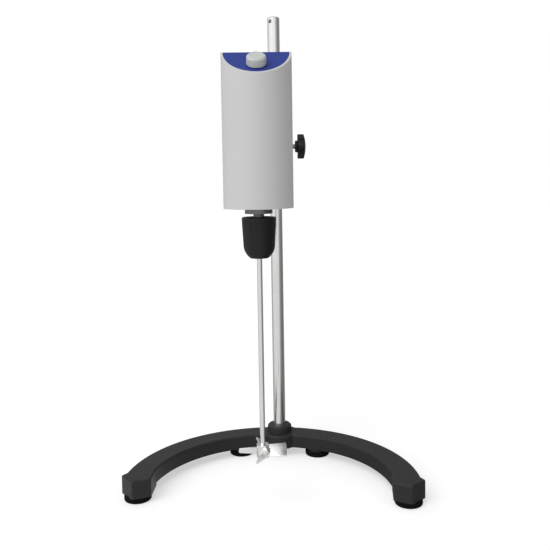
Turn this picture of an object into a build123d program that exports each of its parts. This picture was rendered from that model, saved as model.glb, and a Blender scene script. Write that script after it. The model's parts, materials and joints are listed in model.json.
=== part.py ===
from build123d import *
from math import acos, cos, pi, radians, sin, tan
import os

# Overhead stirrer on a crescent base. Millimetres, +Z up, the head faces -Y, the bench is z = 0.
# The head hangs on a horizontal arm, and a boss head clamps the arm beside the upright rod.
# The stand is turned a few degrees under the head, so that the stirrer hangs near the ring's middle.

# ------------------------------------------------------------------ clearances
slide_gap = 0.05  # radial gap of a shaft or screw that turns or slides in its hole
seat_gap = 0.10  # gap round a fixed piece in its recess
pad_gap = 0.15  # clamp pad to bar
pass_gap = 0.30  # least gap between pieces that move past each other
cut_spare = 1.0  # how far a cut or a buried face runs past the surface it meets
small_chamfer = 1.0

# ------------------------------------------------------------------ stand
ring_radius = 157.0  # middle of the ring's width
ring_width = 30.0
base_thickness = 17.2
base_edge = 2.0
stand_turn = -5.6  # degrees about the vertical
pad_reach = 19.5  # from the middle of a foot pad to its outer corner
pad_front = 18.5  # from the middle of a foot pad to its front corner
pad_front_shift = 2.0  # front corner outside the middle of the ring's width
pad_inner = 18.0  # from the middle of a foot pad to its inner corner
pad_neck = 26.0  # from the middle of a foot pad back to the end of its inner side, in the ring
pad_flare = 1.4  # how far that side leans outwards on its way back
pad_shoulder = 13.0  # and back to the end of its outer side
pad_shoulder_reach = 11.0
pad_drop = 4.1  # foot pad's underside below the ring's
pad_y = 5.5  # middle of a foot pad, in front of or behind the ring's centre line
tip_angle = 1.0  # degrees the ring itself stops short of a half circle
plan_corner = 2.5
rod_lug_radius = 24.0
rod_boss_radius = 16.0
rod_boss_height = 10.0
rim_wall = 6.0  # casting wall round the pockets underneath
pocket_depth = 9.0
pocket_count = 3  # on each side of the rod
pocket_start = 22.0  # degrees round the ring from its tip
pocket_end_angle = 9.0  # between the last pocket and the rear foot
rib_angle = 3.0
foot_radius = 16.0
foot_boss_radius = 14.0  # on the ring's underside, over a rear foot
foot_height = 6.8
foot_edge_radius = 2.0
foot_screw_radius = 2.5
foot_screw_head_radius = 4.5
foot_screw_head_height = 2.6
foot_screw_grip = 9.0
foot_screw_cover = 1.0  # rubber below the screw's head
rear_foot_angle = 19.0  # round the ring, away from the rod

rod_radius = 8.0
rod_top = 582.5
rod_end_chamfer = 1.0
rod_engagement = 16.0
rod_cross_hole_radius = 2.5
rod_cross_hole_drop = 6.0  # below the rod's top
rod_cross_hole_turn = 35.0
bolt_radius = 5.0
bolt_head_flats = 17.0
bolt_head_height = 6.4
bolt_recess_radius = 13.0
bolt_length = 34.0
bolt_hole_spare = 2.0  # tapped hole beyond the bolt's end
washer_radius = 10.5
washer_thickness = 2.0

# ------------------------------------------------------------------ boss head and its clamps
boss_height = 413.5  # arm axis above the bench
arm_offset = 24.0  # arm axis to the left of the rod axis
boss_wall = 7.0
boss_rod_length = 36.0
boss_arm_length = 34.0
boss_web_thickness = 22.0
screw_tower_radius = 8.5
screw_tower_reach = 12.5  # beyond the bar's surface
clamp_screw_radius = 3.0
clamp_stem = 5.8  # bare screw between boss and knob
clamp_screw_in_knob = 9.0
pad_radius = 3.7
pad_thickness = 3.0
pad_pocket = 6.2  # beyond the bar's surface
knob_collar_radius = 8.0
knob_collar = 3.4
knob_lobe_circle = 10.2
knob_lobe_radius = 6.0
knob_core_radius = 9.0
knob_lobe_thickness = 8.0
knob_lobe_blend = 2.0
knob_dome = 2.7

# ------------------------------------------------------------------ arm
arm_radius = 6.0
arm_tail = 32.0  # beyond the rod axis
arm_nose = 1.5  # into the flange from the back cover
arm_end_chamfer = 1.0
flange_radius = 19.0
flange_thickness = 6.0
flange_hub_radius = 11.0
flange_hub_length = 15.0
flange_screw_circle = 14.5
flange_screw_radius = 2.0
set_screw_radius = 2.5
set_screw_flats = 2.5
set_screw_socket = 2.0

# ------------------------------------------------------------------ head
head_reach = 171.4  # spindle axis in front of the rod axis
head_width = 77.0
head_rear = 47.0  # back face behind the spindle axis
head_height = 169.0
arm_rise = 73.0  # arm axis above the head's bottom
panel_slope = 35.4  # degrees
shell_wall = 2.4
cover_thickness = 3.0
cover_edge_radius = 2.5
cap_thickness = 3.0
plate_thickness = 3.0
post_radius = 4.0
post_sink = 0.9  # how far a screw post runs into the wall
post_setback = 5.5  # post axis in front of the back cover
short_post = 14.0
front_post_angle = 50.0  # degrees round from the side
small_screw_radius = 1.5
small_screw_head_radius = 2.8
small_screw_head_height = 1.7
small_screw_grip = 9.0
cover_screw_inset = 28.0  # from the head's bottom and top
vent_count = 7
vent_length = 34.0
vent_width = 2.6
vent_pitch = 6.5
vent_drop = 58.0  # middle of the upper vents, below the head's top

# ------------------------------------------------------------------ chassis
chassis_half_width = 23.0
chassis_wall = 3.0
chassis_front = 17.0  # in front of the spindle axis
gear_deck_rise = 39.0  # underside of the plate that carries the motor, above the head's bottom
board_deck_rise = 109.0  # underside of the plate that carries the board, above the head's bottom

# ------------------------------------------------------------------ spindle and its bearings
spindle_radius = 4.0
spindle_neck_radius = 6.0
spindle_nose_radius = 4.75
spindle_nose_length = 12.5
spindle_end = 1.8  # spindle's top above the circlip
carrier_radius = 13.0
carrier_flange_radius = 15.25
carrier_flange_thickness = 6.0
carrier_lip = 1.2  # carrier above the upper bearing
bearing_radius = 11.0
bearing_width = 7.0
bearing_race = 1.9
bearing_inner_radius = 6.2
bearing_shield = 0.6
bearing_shoulder_radius = 9.6
bearing_rise = 1.2  # lower bearing above the head's bottom
bearing_spread = 15.0
seal_sink = 0.6  # seal above the carrier's lower face
seal_width = 3.8
ring_nut_radius = 18.0
ring_nut_width = 5.0
ring_nut_notch = 3.0
circlip_width = 1.0
circlip_radius = 6.0
circlip_gap_width = 3.0

# ------------------------------------------------------------------ gear pair
gear_module = 0.7
gear_teeth = 36
pinion_teeth = 15
pressure_angle = 20.0  # degrees
backlash = 0.12
gear_width = 7.0
gear_rise = 3.4  # gear above the upper bearing
gear_hub_radius = 6.2
pinion_overhang = 1.0  # pinion past the gear at each face
gear_web_holes = 5
gear_web_hole_radius = 1.8

# ------------------------------------------------------------------ motor
motor_radius = 21.0
motor_length = 60.0
motor_wall = 1.5
motor_pilot_radius = 7.5
motor_shaft_radius = 2.0
motor_screw_circle = 15.0
motor_cap_height = 6.0
magnet_thickness = 3.2
magnet_angle = 130.0
magnet_height = 40.0
magnet_rise = 10.0  # above the motor's front face
air_gap = 0.5
armature_height = 36.0
armature_poles = 5
armature_slot_width = 3.0
armature_core_radius = 7.0
commutator_radius = 6.0
commutator_height = 8.0
brush_width = 5.0
brush_length = 9.0

# ------------------------------------------------------------------ control
knob_setback = 23.2  # speed knob axis in front of the spindle axis, where it meets the panel
knob_radius = 10.75
knob_height = 10.0
knob_lift = 0.6
knob_edge_radius = 1.6
nut_room = 1.5  # round the nut, inside the knob
pot_radius = 8.2
pot_depth = 9.0
pot_bush_radius = 4.5
pot_bush_height = 3.0
pot_nut_flats = 11.0
pot_nut_height = 1.8
pot_shaft_radius = 3.0
pot_shaft_length = 8.5
board_half_width = 26.0
board_front = 15.0
board_rear = 34.0
board_thickness = 1.6
spacer_height = 7.0
spacer_radius = 3.0
spacer_inset = 5.0
component_inset = 3.0  # of the board's components from its edges and from each other
capacitor_radius = 8.0
capacitor_height = 16.0
small_capacitor_radius = 5.0
transformer_width = 20.0
transformer_depth = 18.0
transformer_height = 11.0
heat_sink_width = 12.0
heat_sink_depth = 14.0
inlet_radius = 5.5
inlet_flange_radius = 7.5
inlet_flange = 2.0
inlet_depth = 9.0
inlet_socket_radius = 2.8
inlet_pin_radius = 1.0
inlet_x = -17.0
inlet_rise = 16.0  # above the head's bottom
inlet_nut_width = 2.0
inlet_nut_flats = 14.0

# ------------------------------------------------------------------ chuck
chuck_gap = 3.7  # between the carrier's flange and the chuck
chuck_length = 45.3
sleeve_top_radius = 18.9
sleeve_waist_radius = 17.4
sleeve_waist_rise = 12.5  # above the chuck's bottom
sleeve_mouth_radius = 10.2
sleeve_wall = 2.4
sleeve_edge_radius = 1.2
hub_recess = 1.5  # chuck hub below the sleeve's top
hub_radius = 9.0
core_radius = 12.0
core_drop = 15.3  # chuck core's top below the sleeve's top
nose_radius = 9.6
nose_height = 4.0
nose_cone = 4.0
drill_point = 1.5
nut_groove_radius = 9.4
nut_rise = 14.8  # split nut above the chuck's bottom
nut_height = 6.4
jaw_tilt = 15.0
jaw_radius = 2.6
jaw_length = 21.0
jaw_tip_offset = 1.25  # jaw axis outside the grip face, at the jaw's tip
jaw_travel = 6.0
jaw_tip_rise = 2.0  # jaw tip above the chuck's bottom
jaw_blank = 6.0  # jaw's round stock below its tip, before the tip is cut
jaw_count = 3

# ------------------------------------------------------------------ stirrer
shaft_radius = 3.0
shaft_grip = 26.0  # shaft's top above the chuck's bottom
impeller_bottom = 61.5
impeller_hub_radius = 7.0
impeller_hub_height = 14.0
impeller_radius = 27.0
blade_count = 4
blade_thickness = 1.6
blade_root_width = 12.0
blade_tip_width = 18.0
blade_root_sink = 2.0  # of the blade into the hub
blade_pitch_root = 55.0
blade_pitch_tip = 32.0
shaft_bottom_gap = 1.0

# ------------------------------------------------------------------ places that follow from the sizes
turn = radians(stand_turn)
half_width = head_width / 2
ring_x = pad_y * sin(turn)
rod_x = ring_x - ring_radius * sin(turn)
rod_y = (head_reach + half_width - arm_tail) / 2
ring_y = rod_y - ring_radius * cos(turn)
head_x = rod_x - arm_offset
head_y = rod_y - head_reach

head_bottom = boss_height - arm_rise
head_top = head_bottom + head_height
gear_deck = head_bottom + gear_deck_rise
board_deck = head_bottom + board_deck_rise
lower_bearing = head_bottom + bearing_rise
upper_bearing = lower_bearing + bearing_spread
carrier_top = upper_bearing + bearing_width + carrier_lip
flange_bottom = head_bottom - carrier_flange_thickness
seal_bottom = flange_bottom + seal_sink
gear_bottom = upper_bearing + bearing_width + gear_rise
spindle_top = gear_bottom + gear_width + circlip_width + spindle_end
chuck_top = flange_bottom - chuck_gap
chuck_bottom = chuck_top - chuck_length
core_top = chuck_top - core_drop
nut_bottom = chuck_bottom + nut_rise
shaft_top = chuck_bottom + shaft_grip

ring_bottom = foot_height + pad_drop
base_top = ring_bottom + base_thickness
rod_boss_top = base_top + rod_boss_height
rod_bottom = rod_boss_top - rod_engagement
web_bottom = rod_bottom - base_thickness / 4

stand_place = Location((ring_x, ring_y, 0), (0, 0, stand_turn))
stand_floor = Plane(stand_place)
rod_floor = Plane((rod_x, rod_y, 0))
rod_axis = Axis((rod_x, rod_y, 0), (0, 0, 1))
head_floor = Plane((head_x, head_y, 0))
head_front = Plane((head_x, head_y, 0), x_dir=(1, 0, 0), z_dir=(0, -1, 0))
head_side = Plane((head_x, head_y, 0), x_dir=(0, 1, 0), z_dir=(1, 0, 0))
spindle_axis = Axis((head_x, head_y, 0), (0, 0, 1))

slope = radians(panel_slope)
knob_point = (head_x, head_y - knob_setback, head_top - knob_setback * tan(slope))
panel = Plane(knob_point, x_dir=(1, 0, 0), z_dir=(0, -sin(slope), cos(slope)))

cover_face = head_rear - cover_thickness
plate_top = head_bottom + plate_thickness
post_x = half_width - shell_wall - post_radius + post_sink
post_y = cover_face - post_setback
front_post = radians(-front_post_angle)
rear_posts = [(post_x, post_y), (-post_x, post_y)]
front_posts = [(side * post_x * cos(front_post), post_x * sin(front_post)) for side in (1, -1)]

gear_radius = gear_module * gear_teeth / 2
pinion_pitch_radius = gear_module * pinion_teeth / 2
motor_setback = gear_radius + pinion_pitch_radius
motor_axis = Axis((head_x, head_y + motor_setback, 0), (0, 0, 1))
motor_front = Plane((head_x, head_y + motor_setback, 0), x_dir=(1, 0, 0), z_dir=(0, -1, 0))
motor_floor = Plane((head_x, head_y + motor_setback, 0))
deck_top = gear_deck + chassis_wall
can_top = deck_top + motor_length

upright = (Align.CENTER, Align.CENTER, Align.MIN)


def outline(*points):
    """Fills the closed polyline through the points, in the sketch being built."""
    with BuildLine() as edge:
        Polyline(*points, close=True)
    make_face(edge.edges())


def ring_section(inner, outer, low, high):
    """Fills the half section of a plain turned ring."""
    outline((inner, low), (outer, low), (outer, high), (inner, high))


def head_outline(inset, rear, mode=Mode.ADD):
    """The head's plan: a half round front and straight sides, moved in by the inset."""
    radius = half_width - inset
    with BuildLine() as edge:
        Line((radius, rear), (radius, 0))
        CenterArc((0, 0), radius, 0, -180)
        Line((-radius, 0), (-radius, rear))
        Line((-radius, rear), (radius, rear))
    make_face(edge.edges(), mode=mode)


def save(piece, name):
    """Names a finished piece and writes it."""
    piece.part.label = name
    export_step(piece.part, f"parts/{name}.step")


os.makedirs("parts", exist_ok=True)

# ================================================================== stand
rear_foot = radians(90 - rear_foot_angle)
foot_spots = [(side * ring_radius, pad_y) for side in (1, -1)]
foot_spots += [(side * ring_radius * cos(rear_foot), ring_radius * sin(rear_foot)) for side in (1, -1)]


def pad_outline(side):
    """The blunt six-sided pad at a tip of the ring."""
    outline(
        (side * (ring_radius + pad_reach), pad_y),
        (side * (ring_radius + pad_front_shift), pad_y - pad_front),
        (side * (ring_radius - pad_inner), pad_y - pad_inner / 2),
        (side * (ring_radius - pad_inner + pad_flare), pad_y + pad_neck),
        (side * (ring_radius + pad_shoulder_reach), pad_y + pad_shoulder),
    )


ring_inner = ring_radius - ring_width / 2
ring_outer = ring_radius + ring_width / 2

with BuildPart() as base_casting:
    with BuildSketch(stand_floor.offset(ring_bottom)) as plan:
        with BuildLine():
            outer = CenterArc((0, 0), ring_outer, tip_angle, 180 - 2 * tip_angle)
            inner = CenterArc((0, 0), ring_inner, tip_angle, 180 - 2 * tip_angle)
            Line(outer @ 0, inner @ 0)
            Line(outer @ 1, inner @ 1)
        make_face()
        pad_outline(1)
        pad_outline(-1)
        with Locations((0, ring_radius)):
            Circle(rod_lug_radius)
        fillet(plan.vertices(), plan_corner)
    extrude(amount=base_thickness)
    fillet(base_casting.faces().sort_by(Axis.Z)[-1].edges(), base_edge)
    with BuildSketch(rod_floor.offset(base_top)):
        Circle(rod_boss_radius)
    extrude(amount=rod_boss_height)
    chamfer(base_casting.faces().sort_by(Axis.Z)[-1].edges(), base_edge)
    with BuildSketch(stand_floor.offset(foot_height)) as pads:
        pad_outline(1)
        pad_outline(-1)
        fillet(pads.vertices(), plan_corner)
        with Locations(*foot_spots[2:]):
            Circle(foot_boss_radius)
    extrude(amount=pad_drop + cut_spare)
    # Pockets underneath, between ribs, as on a hollow casting.
    pocket_end = 90.0 - rear_foot_angle - pocket_end_angle
    pocket_step = (pocket_end - pocket_start) / pocket_count
    with BuildSketch(stand_floor.offset(ring_bottom)):
        for side in (1, -1):
            for step in range(pocket_count):
                low = pocket_start + step * pocket_step + rib_angle / 2
                high = low + pocket_step - rib_angle
                start, sweep_angle = (low, high - low) if side > 0 else (180 - low, low - high)
                with BuildLine():
                    outer = CenterArc((0, 0), ring_outer - rim_wall, start, sweep_angle)
                    inner = CenterArc((0, 0), ring_inner + rim_wall, start, sweep_angle)
                    Line(outer @ 0, inner @ 0)
                    Line(outer @ 1, inner @ 1)
                make_face()
    extrude(amount=pocket_depth, mode=Mode.SUBTRACT)
    with BuildSketch(rod_floor.offset(rod_bottom)):
        Circle(rod_radius + slide_gap)
    extrude(amount=rod_engagement, mode=Mode.SUBTRACT)
    with BuildSketch(rod_floor.offset(ring_bottom)):
        Circle(bolt_recess_radius)
    extrude(amount=web_bottom - ring_bottom, mode=Mode.SUBTRACT)
    with BuildSketch(rod_floor.offset(web_bottom)):
        Circle(bolt_radius + slide_gap)
    extrude(amount=rod_bottom - web_bottom, mode=Mode.SUBTRACT)
    with BuildSketch(stand_floor.offset(foot_height)):
        with Locations(*foot_spots):
            Circle(foot_screw_radius)
    extrude(amount=foot_screw_grip, mode=Mode.SUBTRACT)
save(base_casting, "base_casting")

foot_recess = foot_screw_head_height + foot_screw_cover
with BuildPart() as rubber_feet:
    with BuildSketch(stand_floor):
        with Locations(*foot_spots):
            Circle(foot_radius)
    extrude(amount=foot_height)
    fillet(rubber_feet.faces().sort_by(Axis.Z)[:4].edges(), foot_edge_radius)
    with BuildSketch(stand_floor):
        with Locations(*foot_spots):
            Circle(foot_screw_head_radius + seat_gap)
    extrude(amount=foot_recess, mode=Mode.SUBTRACT)
    with BuildSketch(stand_floor):
        with Locations(*foot_spots):
            Circle(foot_screw_radius)
    extrude(amount=foot_height, mode=Mode.SUBTRACT)
save(rubber_feet, "rubber_feet")

with BuildPart() as feet_screws:
    with BuildSketch(stand_floor.offset(foot_recess - foot_screw_head_height)):
        with Locations(*foot_spots):
            Circle(foot_screw_head_radius)
    extrude(amount=foot_screw_head_height)
    with BuildSketch(stand_floor.offset(foot_recess)):
        with Locations(*foot_spots):
            Circle(foot_screw_radius)
    extrude(amount=foot_height - foot_recess + foot_screw_grip)
save(feet_screws, "feet_screws")

with BuildPart() as support_rod:
    with BuildSketch(rod_floor.offset(rod_bottom)):
        Circle(rod_radius)
    extrude(amount=rod_top - rod_bottom)
    chamfer(support_rod.edges().filter_by(GeomType.CIRCLE), rod_end_chamfer)
    with BuildSketch(rod_floor.offset(rod_bottom)):
        Circle(bolt_radius)
    extrude(amount=bolt_length - (rod_bottom - web_bottom) - washer_thickness + bolt_hole_spare, mode=Mode.SUBTRACT)
    hole_turn = radians(rod_cross_hole_turn)
    cross_hole = Plane(
        (rod_x, rod_y, rod_top - rod_cross_hole_drop), z_dir=(-sin(hole_turn), -cos(hole_turn), 0)
    )
    with BuildSketch(cross_hole):
        Circle(rod_cross_hole_radius)
    extrude(amount=rod_radius + cut_spare, both=True, mode=Mode.SUBTRACT)
save(support_rod, "support_rod")

with BuildPart() as rod_washer:
    with BuildSketch(rod_floor.offset(web_bottom - washer_thickness)):
        Circle(washer_radius)
        Circle(bolt_radius, mode=Mode.SUBTRACT)
    extrude(amount=washer_thickness)
save(rod_washer, "rod_washer")

with BuildPart() as rod_bolt:
    head_seat = web_bottom - washer_thickness
    with BuildSketch(rod_floor.offset(head_seat - bolt_head_height)):
        RegularPolygon(bolt_head_flats / 2, 6, major_radius=False)
    extrude(amount=bolt_head_height)
    with BuildSketch(rod_floor.offset(head_seat)):
        Circle(bolt_radius)
    extrude(amount=bolt_length)
save(rod_bolt, "rod_bolt")

# ================================================================== boss head
boss_side_x = Plane((rod_x, rod_y, boss_height), x_dir=(0, 1, 0), z_dir=(1, 0, 0))
arm_side_x = Plane((head_x, rod_y, boss_height), x_dir=(0, -1, 0), z_dir=(-1, 0, 0))
arm_front = Plane((head_x, rod_y, boss_height), x_dir=(1, 0, 0), z_dir=(0, -1, 0))
# Each clamp has its plane square to the screw, through the bar's axis, and its bar's radius.
clamps = {"rod": (boss_side_x, rod_radius), "arm": (arm_side_x, arm_radius)}

with BuildPart() as boss_head:
    with BuildSketch(rod_floor.offset(boss_height - boss_rod_length / 2)):
        Circle(rod_radius + boss_wall)
    extrude(amount=boss_rod_length)
    chamfer(boss_head.edges().filter_by(GeomType.CIRCLE), base_edge / 2)
    with BuildSketch(arm_front.offset(-boss_arm_length / 2)):
        Circle(arm_radius + boss_wall)
    extrude(amount=boss_arm_length)
    arm_rings = boss_head.edges().filter_by(GeomType.CIRCLE).group_by(Axis.Y)
    chamfer(arm_rings[0] + arm_rings[-1], base_edge / 2)
    with BuildSketch(boss_side_x):
        Rectangle(boss_web_thickness, boss_web_thickness)
    extrude(amount=-arm_offset)
    for clamp_plane, bar_radius in clamps.values():
        with BuildSketch(clamp_plane):
            Circle(screw_tower_radius)
        extrude(amount=bar_radius + screw_tower_reach)
    for clamp_plane, bar_radius in clamps.values():
        with BuildSketch(clamp_plane):
            Circle(clamp_screw_radius + slide_gap)
        extrude(amount=bar_radius + screw_tower_reach, mode=Mode.SUBTRACT)
        with BuildSketch(clamp_plane):
            Circle(pad_radius + slide_gap)
        extrude(amount=bar_radius + pad_pocket, mode=Mode.SUBTRACT)
    with BuildSketch(rod_floor.offset(boss_height)):
        Circle(rod_radius + slide_gap)
    extrude(amount=boss_rod_length, both=True, mode=Mode.SUBTRACT)
    with BuildSketch(arm_front):
        Circle(arm_radius + slide_gap)
    extrude(amount=boss_arm_length, both=True, mode=Mode.SUBTRACT)
save(boss_head, "boss_head")

for clamp, (clamp_plane, bar_radius) in clamps.items():
    pad_face = bar_radius + pad_gap
    screw_start = pad_face + pad_thickness
    collar_start = bar_radius + screw_tower_reach + clamp_stem
    screw_end = collar_start + clamp_screw_in_knob
    lobe_end = collar_start + knob_collar + knob_lobe_thickness
    lobe_reach = knob_lobe_circle + knob_lobe_radius
    crown_radius = (lobe_reach**2 + knob_dome**2) / (2 * knob_dome)

    with BuildPart() as clamp_pad:
        with BuildSketch(clamp_plane.offset(pad_face)):
            Circle(pad_radius)
        extrude(amount=pad_thickness)
    save(clamp_pad, f"{clamp}_clamp_pad")

    with BuildPart() as clamp_screw:
        with BuildSketch(clamp_plane.offset(screw_start)):
            Circle(clamp_screw_radius)
        extrude(amount=screw_end - screw_start)
    save(clamp_screw, f"{clamp}_clamp_screw")

    with BuildPart() as clamp_knob:
        with BuildSketch(clamp_plane.offset(collar_start)):
            Circle(knob_collar_radius)
        extrude(amount=knob_collar)
        chamfer(clamp_knob.edges(), small_chamfer)
        with BuildSketch(clamp_plane.offset(collar_start + knob_collar)) as lobes:
            Circle(knob_core_radius)
            with PolarLocations(knob_lobe_circle, 4):
                Circle(knob_lobe_radius)
            fillet(lobes.vertices(), knob_lobe_blend)
        extrude(amount=knob_lobe_thickness + knob_dome)
        # A large ball trims the lobes, so that the knob's face is domed.
        with Locations(clamp_plane.offset(lobe_end + knob_dome - crown_radius)):
            Sphere(crown_radius, mode=Mode.INTERSECT)
        with BuildSketch(clamp_plane.offset(collar_start)):
            Circle(clamp_screw_radius)
        extrude(amount=clamp_screw_in_knob, mode=Mode.SUBTRACT)
    save(clamp_knob, f"{clamp}_clamp_knob")

# ================================================================== arm
arm_start = head_rear + arm_nose
arm_end = head_reach + arm_tail
arm_line = Plane((head_x, head_y, boss_height), x_dir=(-1, 0, 0), z_dir=(0, 1, 0))

with BuildPart() as support_arm:
    with BuildSketch(arm_line.offset(arm_start)):
        Circle(arm_radius)
    extrude(amount=arm_end - arm_start)
    chamfer(support_arm.edges().filter_by(GeomType.CIRCLE), arm_end_chamfer)
save(support_arm, "support_arm")

hub_end = head_rear + flange_thickness + flange_hub_length
set_screw_y = hub_end - flange_hub_length / 2
flange_holes = [
    (flange_screw_circle * cos(radians(angle)), flange_screw_circle * sin(radians(angle)))
    for angle in (45, 135, 225, 315)
]
set_screw_plane = Plane((head_x, head_y + set_screw_y, boss_height), x_dir=(1, 0, 0), z_dir=(0, 0, -1))

with BuildPart() as arm_flange:
    with BuildSketch(arm_line.offset(head_rear)):
        Circle(flange_radius)
    extrude(amount=flange_thickness)
    chamfer(arm_flange.faces().sort_by(Axis.Y)[-1].edges(), small_chamfer)
    with BuildSketch(arm_line.offset(head_rear + flange_thickness)):
        Circle(flange_hub_radius)
    extrude(amount=flange_hub_length)
    chamfer(arm_flange.faces().sort_by(Axis.Y)[-1].edges(), small_chamfer)
    with BuildSketch(arm_line.offset(arm_start)):
        Circle(arm_radius + slide_gap)
    extrude(amount=hub_end - arm_start, mode=Mode.SUBTRACT)
    with BuildSketch(arm_line.offset(head_rear)):
        with Locations(*flange_holes):
            Circle(flange_screw_radius)
    extrude(amount=flange_thickness, mode=Mode.SUBTRACT)
    with BuildSketch(set_screw_plane):
        Circle(set_screw_radius)
    extrude(amount=flange_hub_radius, mode=Mode.SUBTRACT)
save(arm_flange, "arm_flange")

with BuildPart() as arm_set_screw:
    with BuildSketch(set_screw_plane.offset(arm_radius + pad_gap)):
        Circle(set_screw_radius)
    extrude(amount=flange_hub_radius - arm_radius - 2 * pad_gap)
    with BuildSketch(set_screw_plane.offset(flange_hub_radius - set_screw_socket)):
        RegularPolygon(set_screw_flats / 2, 6, major_radius=False)
    extrude(amount=set_screw_socket, mode=Mode.SUBTRACT)
save(arm_set_screw, "arm_set_screw")

with BuildPart() as arm_flange_screws:
    with BuildSketch(arm_line.offset(cover_face - chassis_wall)):
        with Locations(*flange_holes):
            Circle(flange_screw_radius)
    extrude(amount=chassis_wall + cover_thickness + flange_thickness)
    with BuildSketch(arm_line.offset(head_rear + flange_thickness)):
        with Locations(*flange_holes):
            Circle(small_screw_head_radius)
    extrude(amount=small_screw_head_height)
save(arm_flange_screws, "arm_flange_screws")

# ================================================================== housing
panel_run = half_width * 2
above_panel = [
    (0, head_top),
    (-panel_run, head_top - panel_run * tan(slope)),
    (-panel_run, head_top + panel_run),
    (0, head_top + panel_run),
]
cover_screws = [
    (side * post_x, level)
    for side in (1, -1)
    for level in (head_bottom + cover_screw_inset, head_top - cover_screw_inset)
]
cover_back = Plane((head_x, head_y + head_rear, 0), x_dir=(-1, 0, 0), z_dir=(0, 1, 0))

with BuildPart() as housing_shell:
    with BuildSketch(head_floor.offset(head_bottom)):
        head_outline(0, cover_face)
        head_outline(shell_wall, cover_face + cut_spare, mode=Mode.SUBTRACT)
    extrude(amount=head_top - head_bottom)
    with BuildSketch(head_floor.offset(plate_top)):
        with Locations(*rear_posts):
            Circle(post_radius)
    extrude(amount=head_top - cap_thickness - plate_top)
    with BuildSketch(head_floor.offset(plate_top)):
        with Locations(*front_posts):
            Circle(post_radius)
    extrude(amount=short_post)
    with BuildSketch(head_side):
        outline(*above_panel)
    extrude(amount=head_width, both=True, mode=Mode.SUBTRACT)
    with BuildSketch(head_floor.offset(plate_top)):
        with Locations(*rear_posts, *front_posts):
            Circle(small_screw_radius)
    extrude(amount=small_screw_grip, mode=Mode.SUBTRACT)
    with BuildSketch(head_floor.offset(head_top - cap_thickness)):
        with Locations(*rear_posts):
            Circle(small_screw_radius)
    extrude(amount=-small_screw_grip, mode=Mode.SUBTRACT)
    with BuildSketch(cover_back.offset(-cover_thickness)):
        with Locations(*cover_screws):
            Circle(small_screw_radius)
    extrude(amount=-small_screw_grip, mode=Mode.SUBTRACT)
save(housing_shell, "housing_shell")

cap_step = cap_thickness * tan(slope / 2)
with BuildPart() as top_cap:
    with BuildSketch(head_side):
        outline(
            (head_rear, head_top),
            (0, head_top),
            (-panel_run, head_top - panel_run * tan(slope)),
            (-panel_run, head_top - panel_run * tan(slope) - cap_thickness / cos(slope)),
            (cap_step, head_top - cap_thickness),
            (head_rear, head_top - cap_thickness),
        )
    extrude(amount=head_width, both=True)
    with BuildSketch(head_floor):
        head_outline(shell_wall + seat_gap, cover_face - seat_gap)
    extrude(amount=head_top + cut_spare, mode=Mode.INTERSECT)
    with BuildSketch(head_floor.offset(head_top)):
        with Locations(*rear_posts):
            Circle(small_screw_radius)
    extrude(amount=-cap_thickness, mode=Mode.SUBTRACT)
    with BuildSketch(head_floor.offset(head_top)):
        with Locations(*rear_posts):
            Circle(small_screw_head_radius + seat_gap)
    extrude(amount=-small_screw_head_height, mode=Mode.SUBTRACT)
    with BuildSketch(panel):
        Circle(pot_bush_radius)
    extrude(amount=-2 * cap_thickness, mode=Mode.SUBTRACT)
save(top_cap, "top_cap")

with BuildPart() as top_cap_screws:
    with BuildSketch(head_floor.offset(head_top)):
        with Locations(*rear_posts):
            Circle(small_screw_head_radius)
    extrude(amount=-small_screw_head_height)
    with BuildSketch(head_floor.offset(head_top)):
        with Locations(*rear_posts):
            Circle(small_screw_radius)
    extrude(amount=-cap_thickness - small_screw_grip + cut_spare)
save(top_cap_screws, "top_cap_screws")

inlet_z = head_bottom + inlet_rise
vents = [(0, head_top - vent_drop + vent_pitch * (row - (vent_count - 1) / 2)) for row in range(vent_count)]
with BuildPart() as rear_cover:
    with BuildSketch(cover_back):
        with Locations((0, (head_bottom + head_top) / 2)):
            Rectangle(head_width, head_top - head_bottom)
    extrude(amount=-cover_thickness)
    upright_edges = rear_cover.edges().filter_by(Axis.Z).sort_by(Axis.Y)[-2:]
    fillet(upright_edges, cover_edge_radius)
    with BuildSketch(cover_back):
        with Locations(*vents):
            SlotOverall(vent_length, vent_width)
        with Locations(*cover_screws):
            Circle(small_screw_radius)
        with Locations((0, boss_height)):
            with Locations(*flange_holes):
                Circle(flange_screw_radius)
        with Locations((-inlet_x, inlet_z)):
            Circle(inlet_radius)
    extrude(amount=-cover_thickness, mode=Mode.SUBTRACT)
save(rear_cover, "rear_cover")

with BuildPart() as rear_cover_screws:
    with BuildSketch(cover_back):
        with Locations(*cover_screws):
            Circle(small_screw_head_radius)
    extrude(amount=small_screw_head_height)
    with BuildSketch(cover_back):
        with Locations(*cover_screws):
            Circle(small_screw_radius)
    extrude(amount=-cover_thickness - small_screw_grip + cut_spare)
save(rear_cover_screws, "rear_cover_screws")

with BuildPart() as bottom_plate:
    with BuildSketch(head_floor.offset(head_bottom)):
        head_outline(shell_wall + seat_gap, cover_face - seat_gap)
        Circle(carrier_radius + seat_gap, mode=Mode.SUBTRACT)
        with Locations(*rear_posts, *front_posts):
            Circle(small_screw_radius, mode=Mode.SUBTRACT)
    extrude(amount=plate_thickness)
    with BuildSketch(head_floor.offset(head_bottom)):
        with Locations(*rear_posts, *front_posts):
            Circle(small_screw_head_radius + seat_gap)
    extrude(amount=small_screw_head_height, mode=Mode.SUBTRACT)
save(bottom_plate, "bottom_plate")

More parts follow.
